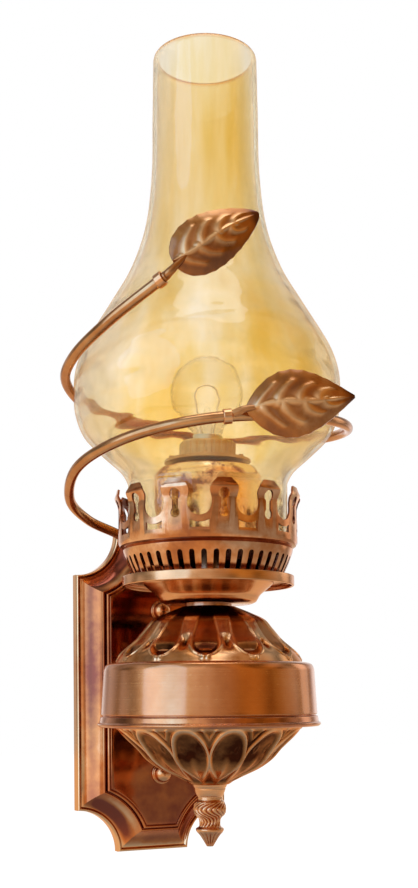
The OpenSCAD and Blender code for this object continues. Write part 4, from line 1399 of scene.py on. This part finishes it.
@dataclass
class Leaf:
    """A leaf blade with its stalk or socket. Places are about the lamp's axis.

    Fields: where the blade starts, its directions along and out, its length, its width,
    how full it is (0 for a lens, 1 for a blade that is blunt at the stalk), and which
    side's veins start first (1 or -1).
    """

    base: Array
    along: Array
    out: Array
    length: float
    width: float
    fulness: float
    hand: float
    thick: float = 0.9
    stalk_sides: int = 20

    def veins(self, x: Array, y: Array) -> Array:
        """Raised midrib and side veins: bell-shaped ridges about straight and bent lines.

        Args:
            x: share of the blade's length.
            y: share of its half width, signed.

        Returns:
            Height of the ridges, from 0 to 1.
        """
        middle = y + self.hand * 0.06 * np.sin(2 * np.pi * x)
        height = 0.9 * hill(middle, 0.0, 0.1) * smoothstep(1.0, 0.75, x)
        for count, start in enumerate((0.1, 0.3, 0.5, 0.68)):
            for side in (-1.0, 1.0):
                px = x - start - (0.05 if side == self.hand else 0.0)
                py = y * side
                run, rise = 0.17 - 0.02 * count, 0.66 - 0.05 * count
                square = run * run * 4 + rise * rise
                t = np.clip((px * run * 4 + py * rise) / square, 0.0, 1.0)
                bend = 0.04 * np.sin(np.pi * t)
                gap = np.hypot((px - run * t + bend) * 2.2, py - rise * t)
                ridge = hill(gap, 0.0, 0.115 - 0.035 * t) * (1.0 - 0.45 * t)
                height = np.maximum(height, 0.85 * ridge)
        return height

    def blade(self, name: str) -> Object:
        """The blade: a pointed oval, bowed across and arched along, with raised veins.

        Its half width is a power of a half sine wave of the place along it. Its face is
        lifted by the bow, the arch and the veins, and its back lies one wall behind.

        Args:
            name: the mesh's name.

        Returns:
            The new object, closed.
        """
        normal = unit(self.out - self.along * (self.out @ self.along))
        side, half_w, full = np.cross(normal, self.along), self.width / 2, self.fulness
        u = np.linspace(0.0, 1.0, 121)[:, None]
        v = np.sin(np.linspace(-np.pi / 2, np.pi / 2, 89))[None, :]
        wave = np.clip(np.sin(np.pi * u ** (0.8 - 0.12 * full)), 0.0, 1.0)
        half = 0.04 + 0.97 * wave ** (1 - 0.4 * full) * (1 - 0.12 * full * u)
        scallop = 1.0 - 0.025 * np.abs(np.sin(9 * np.pi * u)) * np.abs(v) ** 6
        bow = (-0.22 * v**2 * half - 0.3 * u**2 + 0.16 * np.sin(np.pi * u)) * half_w
        veins = self.veins(u, v)
        ends = smoothstep(0.0, 0.1, u) * smoothstep(1.0, 0.85, u)
        valley = 0.2 * (1 - veins) * (1 - v**2) * ends
        along = self.base + self.along * self.length * u[..., None]
        flat = along + side * (v * half * scallop * half_w)[..., None]
        face = flat + normal * (bow + 0.7 * veins - 0.35 * valley)[..., None]
        back = flat + normal * (bow - self.thick + 0.3 * veins)[..., None]
        grid = np.concatenate([face, back[:, ::-1]], 1)
        tips = grid[[0, -1]].mean(1, keepdims=True) + 0 * grid[[0, -1]]
        closed = np.concatenate([tips[:1], grid, tips[1:]])
        # Painted highlight on the veins and painted shade towards the tip.
        mark = veins * 1.6 - 0.3 - 1.2 * smoothstep(0.86, 1.0, u)
        marks = np.concatenate([mark, np.full_like(mark, -0.3)], 1)
        marks = np.pad(marks, ((1, 1), (0, 0)), "edge")
        return surface(name, on_wall(closed)[::-1], False, ROUND, {"relief": marks[::-1]})

    def stalked(self, stations: list[Array], radii: list[float], name: str) -> Object:
        """The blade joined with its stalk, a thin bar that ends inside it.

        Args:
            stations: the stalk's route up to the blade, about the lamp's axis.
            radii: its radii at the start, at 0.35 and 0.7 of its points, and at the end.
            name: the piece's name.

        Returns:
            The new object.
        """
        route = curve_through(np.array(stations), 8)
        r = np.interp(np.linspace(0, 1, len(route)), [0, 0.35, 0.7, 1], radii)
        stalk = tube("stalk", on_wall(route), r, self.stalk_sides)
        return joined([stalk, self.blade("blade")], name)


@dataclass
class Vine(SubAssembly):
    """The copper vine, its collars and its two leaves."""

    radius: float = 2.35
    coil_r: float = 65.25
    root_z: float = 56.0
    left_side: float = 154.0
    lower_collar: float = 101.0
    collar_l: float = 3.6
    collar_edge: float = 0.25
    upper_l: float = 41.5
    upper_w: float = 24.5
    lower_l: float = 45.0
    lower_w: float = 28.0
    stalk_r: float = 1.6
    right_squeeze: float = 0.9945
    sides: int = 24

    # The root: across, out of the wall and up from its hole. The coil: degrees round
    # from the glass's left side, and heights.
    ROOT = (
        (0, 6, 0), (0, 10, 0), (0, 14, 0), (0, 18.6, 0), (-0.8, 22, 1.6), (-3.8, 23.6, 5.2),
        (-9.5, 23.4, 10.4), (-16.8, 22.6, 16), (-25.2, 21.9, 21.8),
    )
    COIL = (
        (-20, 83.2), (0, 90.3), (30, 99.6), (60, 107), (90, 112.4), (120, 115.6), (150, 118.2),
        (180, 121.2), (210, 124.2), (240, 127.6), (270, 131.1), (300, 134.7), (330, 138.9),
        (360, 143.6), (385, 148.4), (410, 157.2), (433, 170.6),
    )

    def at(self, angle: Array | float, height: Array | float, radius: Array | float) -> Array:
        """Points at angles from the glass's left side, heights and radii, about the axis."""
        turn = np.radians(self.left_side + angle)
        return np.stack([radius * np.cos(turn), radius * np.sin(turn), height + 0.0 * turn], -1)

    def route(self, steps: int) -> Array:
        """The vine's middle line about the lamp's axis, from the root to its end.

        The coil starts 4 mm nearer to the axis and has its full radius from 40 degrees.

        Args:
            steps: points per stretch between stations.

        Returns:
            The line's points.
        """
        root = np.array(self.ROOT) * [1, -1, 1] + [0, AXIS_OUT, self.root_z]
        a, height = np.array(self.COIL, float).T
        r = self.coil_r - np.where(a < 40, 1.6 * (40 - a) / 60, 0) - np.where(a < 0, -0.12 * a, 0)
        return curve_through(np.vstack([root, self.at(a, height, r)]), steps)

    def build(self) -> None:
        """Builds the vine from its root up, drawn in a little on its right side."""
        route, coarse = self.route(12), self.route(4)
        route[:, 0] = np.minimum(route[:, 0], route[:, 0] * self.right_squeeze)
        stem = tube("vine_tube_bent", on_wall(route), self.radius, self.sides)
        self.place(stem, "vine_copper", "vine_tube")
        self.soften("leaf_collars", "turned", "spun_copper", self.collar_edge)
        self.place(self.upper_leaf(coarse), "leaf_copper", "upper_leaf")
        self.place(self.lower_leaf(coarse), "leaf_copper", "lower_leaf")

    @staticmethod
    def outwards(point: Array) -> Array:
        """The level direction from the axis to a point."""
        return unit(point * [1, 1, 0])

    def upper_leaf(self, route: Array) -> Object:
        """The leaf at the vine's end, with the socket that closes the tube.

        Args:
            route: the vine's middle line.

        Returns:
            The new object.
        """
        end, way = route[-1], unit(route[-1] - route[-2])
        out, right = self.outwards(end), self.at(180.0, 0.0, 1.0)
        foot, base = end + way * 0.1, end + right * 6 + [0, 0, 7] + out * 2.4
        along = unit(right * 1.72 + [0, 0, 1])
        looks = self.outwards(base + right * 20)
        leaf = Leaf(base, along, looks, self.upper_l, self.upper_w, fulness=0.8, hand=1.0)
        into = base + along * 0.22 * self.upper_l - out * 0.2
        stations = [foot, foot + way * 3, foot + way * 6 + out * 0.8, into]
        return leaf.stalked(stations, [2.0, 2.0, 1.7, 0.6], "upper_leaf_veined")

    def lower_leaf(self, route: Array) -> Object:
        """The leaf beside the vine, with its short stalk at the collar.

        Args:
            route: the vine's middle line.

        Returns:
            The new object.
        """
        height = np.interp(self.lower_collar, *np.array(self.COIL, float).T)
        spot = self.at(self.lower_collar, height, self.coil_r)
        i = int(np.argmin(np.linalg.norm(route - spot, axis=1)))
        way, out = unit(route[i + 1] - route[i - 1]), self.outwards(route[i])
        beside_vine = out * (self.radius + self.stalk_r + 0.15)
        foot = route[i] + way * (self.collar_l / 2 + 0.1) + beside_vine
        base = foot + way * 5 + out * 1.2 + [0, 0, 1.4]
        along = unit(way + out * 0.2 + [0, 0, 0.01])
        leaf = Leaf(base, along, out, self.lower_l, self.lower_w, fulness=0.0, hand=-1.0)
        stations = [foot, (foot + base) / 2, base, base + along * 0.22 * self.lower_l]
        return leaf.stalked(stations, [1.6, 1.6, 1.4, 0.6], "lower_leaf_veined")


def on_wall(points: Array) -> Array:
    """Points given about the lamp's axis, moved to the frame of the wall."""
    return points - [0.0, AXIS_OUT, 0.0]


# Studio


@dataclass(frozen=True)
class Panel:
    """A soft oval light that looks at the lamp and isn't seen through glass.

    Fields: how far round it stands from the front and how high, in degrees, how far,
    its width and height, in metres, its power in watts, and its colour.
    """

    name: str
    azimuth: float
    elevation: float
    distance: float
    size: tuple[float, float]
    power: float
    colour: Colour

    def hang(self) -> None:
        """Places the panel and turns it towards the lamp's middle."""
        data = bpy.data.lights.new(self.name, "AREA")
        data.color, data.energy, data.shape = self.colour, self.power, "ELLIPSE"
        data.size, data.size_y = self.size
        a, e = math.radians(self.azimuth), math.radians(self.elevation)
        back = Vector((math.sin(a) * math.cos(e), -math.cos(a) * math.cos(e), math.sin(e)))
        obj = linked(self.name, data)
        obj.location = Vector((0.0, -AXIS_OUT * MM, 0.1)) + back * self.distance
        obj.rotation_euler = (-back).to_track_quat("-Z", "Y").to_euler()
        obj.visible_transmission = False


PANELS = (
    Panel("window_left", -74.0, 8.0, 1.3, (1.2, 1.7), power=13.0, colour=(0.25, 0.53, 1.0)),
    Panel("panel_right", 97.0, 12.0, 1.6, (0.6, 1.2), power=1.4, colour=(1.0, 0.92, 0.8)),
    Panel("panel_top", -20.0, 75.0, 1.4, (1.0, 0.9), power=5.2, colour=(0.8, 0.9, 1.0)),
)


@dataclass
class Studio:
    """Floor, light and camera.

    The camera was fitted to the plate's corners: its place, its focal length in pixels
    and the height of the horizon, in a frame of 418 x 888. The other fields are levels
    and colours of what the lamp mirrors, directions across the room and the floor, and
    places on the floor, in metres from the axis.
    """

    camera_at: tuple[float, float, float] = (-251.0, -585.6, -1.7)
    focal_px: float = 1231.0
    frame_long_px: float = 888.0
    horizon_px: float = 695.4
    sensor: float = 36.0
    roll: float = 0.38
    view_way: tuple[float, float] = (0.4383, 0.8988)
    near_window: tuple[float, float] = (-0.53, -0.85)
    floor_z: float = -230.0
    floor_half: float = 4000.0
    world_light: float = 0.5
    room_least: float = 0.09
    left_wall: float = 0.22
    back_wall: float = 0.65
    front_glow: float = 0.5
    ceiling: float = 0.12
    warm_side: Colour = (1.0, 0.52, 0.12)
    floor_share: float = 0.72
    floor_glow: float = 1.35
    floor_gloss: float = 0.48
    warm_floor: Colour = (1.0, 0.72, 0.4)
    painted_shadow_ring: tuple[float, float] = (0.11, 0.36)
    dim_way: tuple[float, float] = (0.69, -0.72)
    dim_ends: tuple[float, float] = (0.05, 0.75)
    dim_levels: tuple[float, float] = (1.6, 0.2)

    WHITE = (1.0, 1.0, 1.0)

    def build(self) -> None:
        """Makes the floor, the world, the lamps and the camera."""
        bpy.context.scene.view_settings.view_transform = "Standard"
        self.world()
        self.floor()
        for panel in PANELS:
            panel.hang()
        self.camera()

    def world(self) -> None:
        """White for the camera and through glass; a room that darkens in front for gloss.

        The room is soft noise with a bright wall behind the lamp, a glow in front and a
        pale wall at the left. It turns warm at the front right. Each part fades in
        between two cosines of the angle to its direction.
        """
        world = bpy.data.worlds.new("studio")
        bpy.context.scene.world = world
        world.use_nodes = True
        g = Graph(world.node_tree)
        way = g.add("TexCoord")["Generated"]
        split = g.add("SeparateXYZ", {0: way})
        x, y, z = (split[k] for k in range(3))
        look = y * self.view_way[1] + x * self.view_way[0]
        near = y * self.near_window[1] + x * self.near_window[0]
        room = (g.noise(way, 2.6, 1.0) * 3.4 + -1.25).clamped() * 0.6 + self.room_least
        room = room + g.span(near, (0.78, 0.99), (0.0, self.front_glow))
        room = room + g.span(x, (-0.78, -0.96), (0.0, self.left_wall))
        right = (x * 1.4 + 0.8).clamped()
        room = room * (right * -0.05 + 1.0)
        behind = g.span(look, (0.74, 0.93), (0.0, self.back_wall)) + room
        behind = behind + z.max(0.0) * self.ceiling
        path = g.add("LightPath")
        glossy = path["Is Glossy Ray"]
        inside = (path["Transmission Depth"] * 0.85).clamped()
        seen = path["Is Camera Ray"].max(path["Is Transmission Ray"]).max(inside)
        level = seen.max(glossy * behind + (glossy * -1.0 + 1.0) * self.world_light)
        heat = right * (y * -1.6).clamped() * glossy
        back = {"Color": g.mix(heat, self.WHITE, self.warm_side), "Strength": level}
        g.add("OutputWorld", {"Surface": g.add("Background", back)[0]})

    def floor(self) -> None:
        """A wide pale floor that is white to the camera, apart from the lamp's shadow.

        What the lamp mirrors of it carries a painted shadow, dark near the lamp, and painted
        shade that dims it at the front right.
        """
        line = np.linspace(-self.floor_half, self.floor_half, 9)
        grid = np.stack(np.meshgrid(line, line, self.floor_z), -1)[:, :, 0]
        floor = surface("floor", grid, False, ROUND, wrap_cols=False)
        g = Surfacing("pale_floor")
        matt = g.add("BsdfDiffuse", {"Color": (0.6, 0.6, 0.6)})[0]
        path = g.add("LightPath")
        glossy = path["Is Glossy Ray"]
        tint = g.mix(glossy, self.WHITE, self.warm_floor)
        glow = g.add("Emission", {"Color": tint, "Strength": self.floor_glow})[0]
        spot = {0: g.place, 1: (0.0, -AXIS_OUT * MM, self.floor_z * MM)}
        away = g.add("VectorMath", spot, operation="DISTANCE")["Value"]
        inputs = {0: g.add("VectorMath", spot, operation="SUBTRACT")[0], 1: (*self.dim_way, 0.0)}
        forth = g.add("VectorMath", inputs, operation="DOT_PRODUCT")["Value"]
        # Painted shadow round the lamp's foot and painted shade at the front right, seen only in
        # reflections.
        clear = g.span(away, self.painted_shadow_ring, (0.0, self.floor_gloss), Slope.STRAIGHT)
        gloss = clear * g.span(forth, self.dim_ends, self.dim_levels) * glossy
        seen = path["Is Camera Ray"].max(gloss).max(path["Is Transmission Ray"])
        mixed = g.add("MixShader", {0: seen * self.floor_share, 1: matt, 2: glow})[0]
        floor.data.materials.append(g.end(mixed))

    def camera(self) -> None:
        """A level camera whose shift puts the horizon where the picture has it."""
        data = bpy.data.cameras.new("camera")
        data.lens = self.focal_px / self.frame_long_px * self.sensor
        data.sensor_width = self.sensor
        data.shift_y = (self.horizon_px - self.frame_long_px / 2) / self.frame_long_px
        data.clip_start, data.clip_end = 0.01, 50.0
        place = Vector(self.camera_at) * MM
        look = Vector((0.0, -AXIS_OUT * MM, self.camera_at[2] * MM)) - place
        turn = look.to_track_quat("-Z", "Y").to_matrix().to_4x4()
        roll = Matrix.Rotation(math.radians(-self.roll), 4, "Z")
        obj = linked("camera", data)
        obj.matrix_world = Matrix.Translation(place) @ turn @ roll
        bpy.context.scene.camera = obj


def main() -> None:
    """Builds the studio and the sub-assemblies in order."""
    logging.basicConfig(level=logging.INFO, format="%(name)s: %(message)s")
    Studio().build()
    coats = make_coats()
    for kind in (WallPlate, Font, Burner, Chimney, LampHolder, Vine):
        part = kind(coats)
        part.build()
        LOG.info("%s: %s", kind.__name__, ", ".join(part.pieces))


if __name__ == "__main__":
    main()
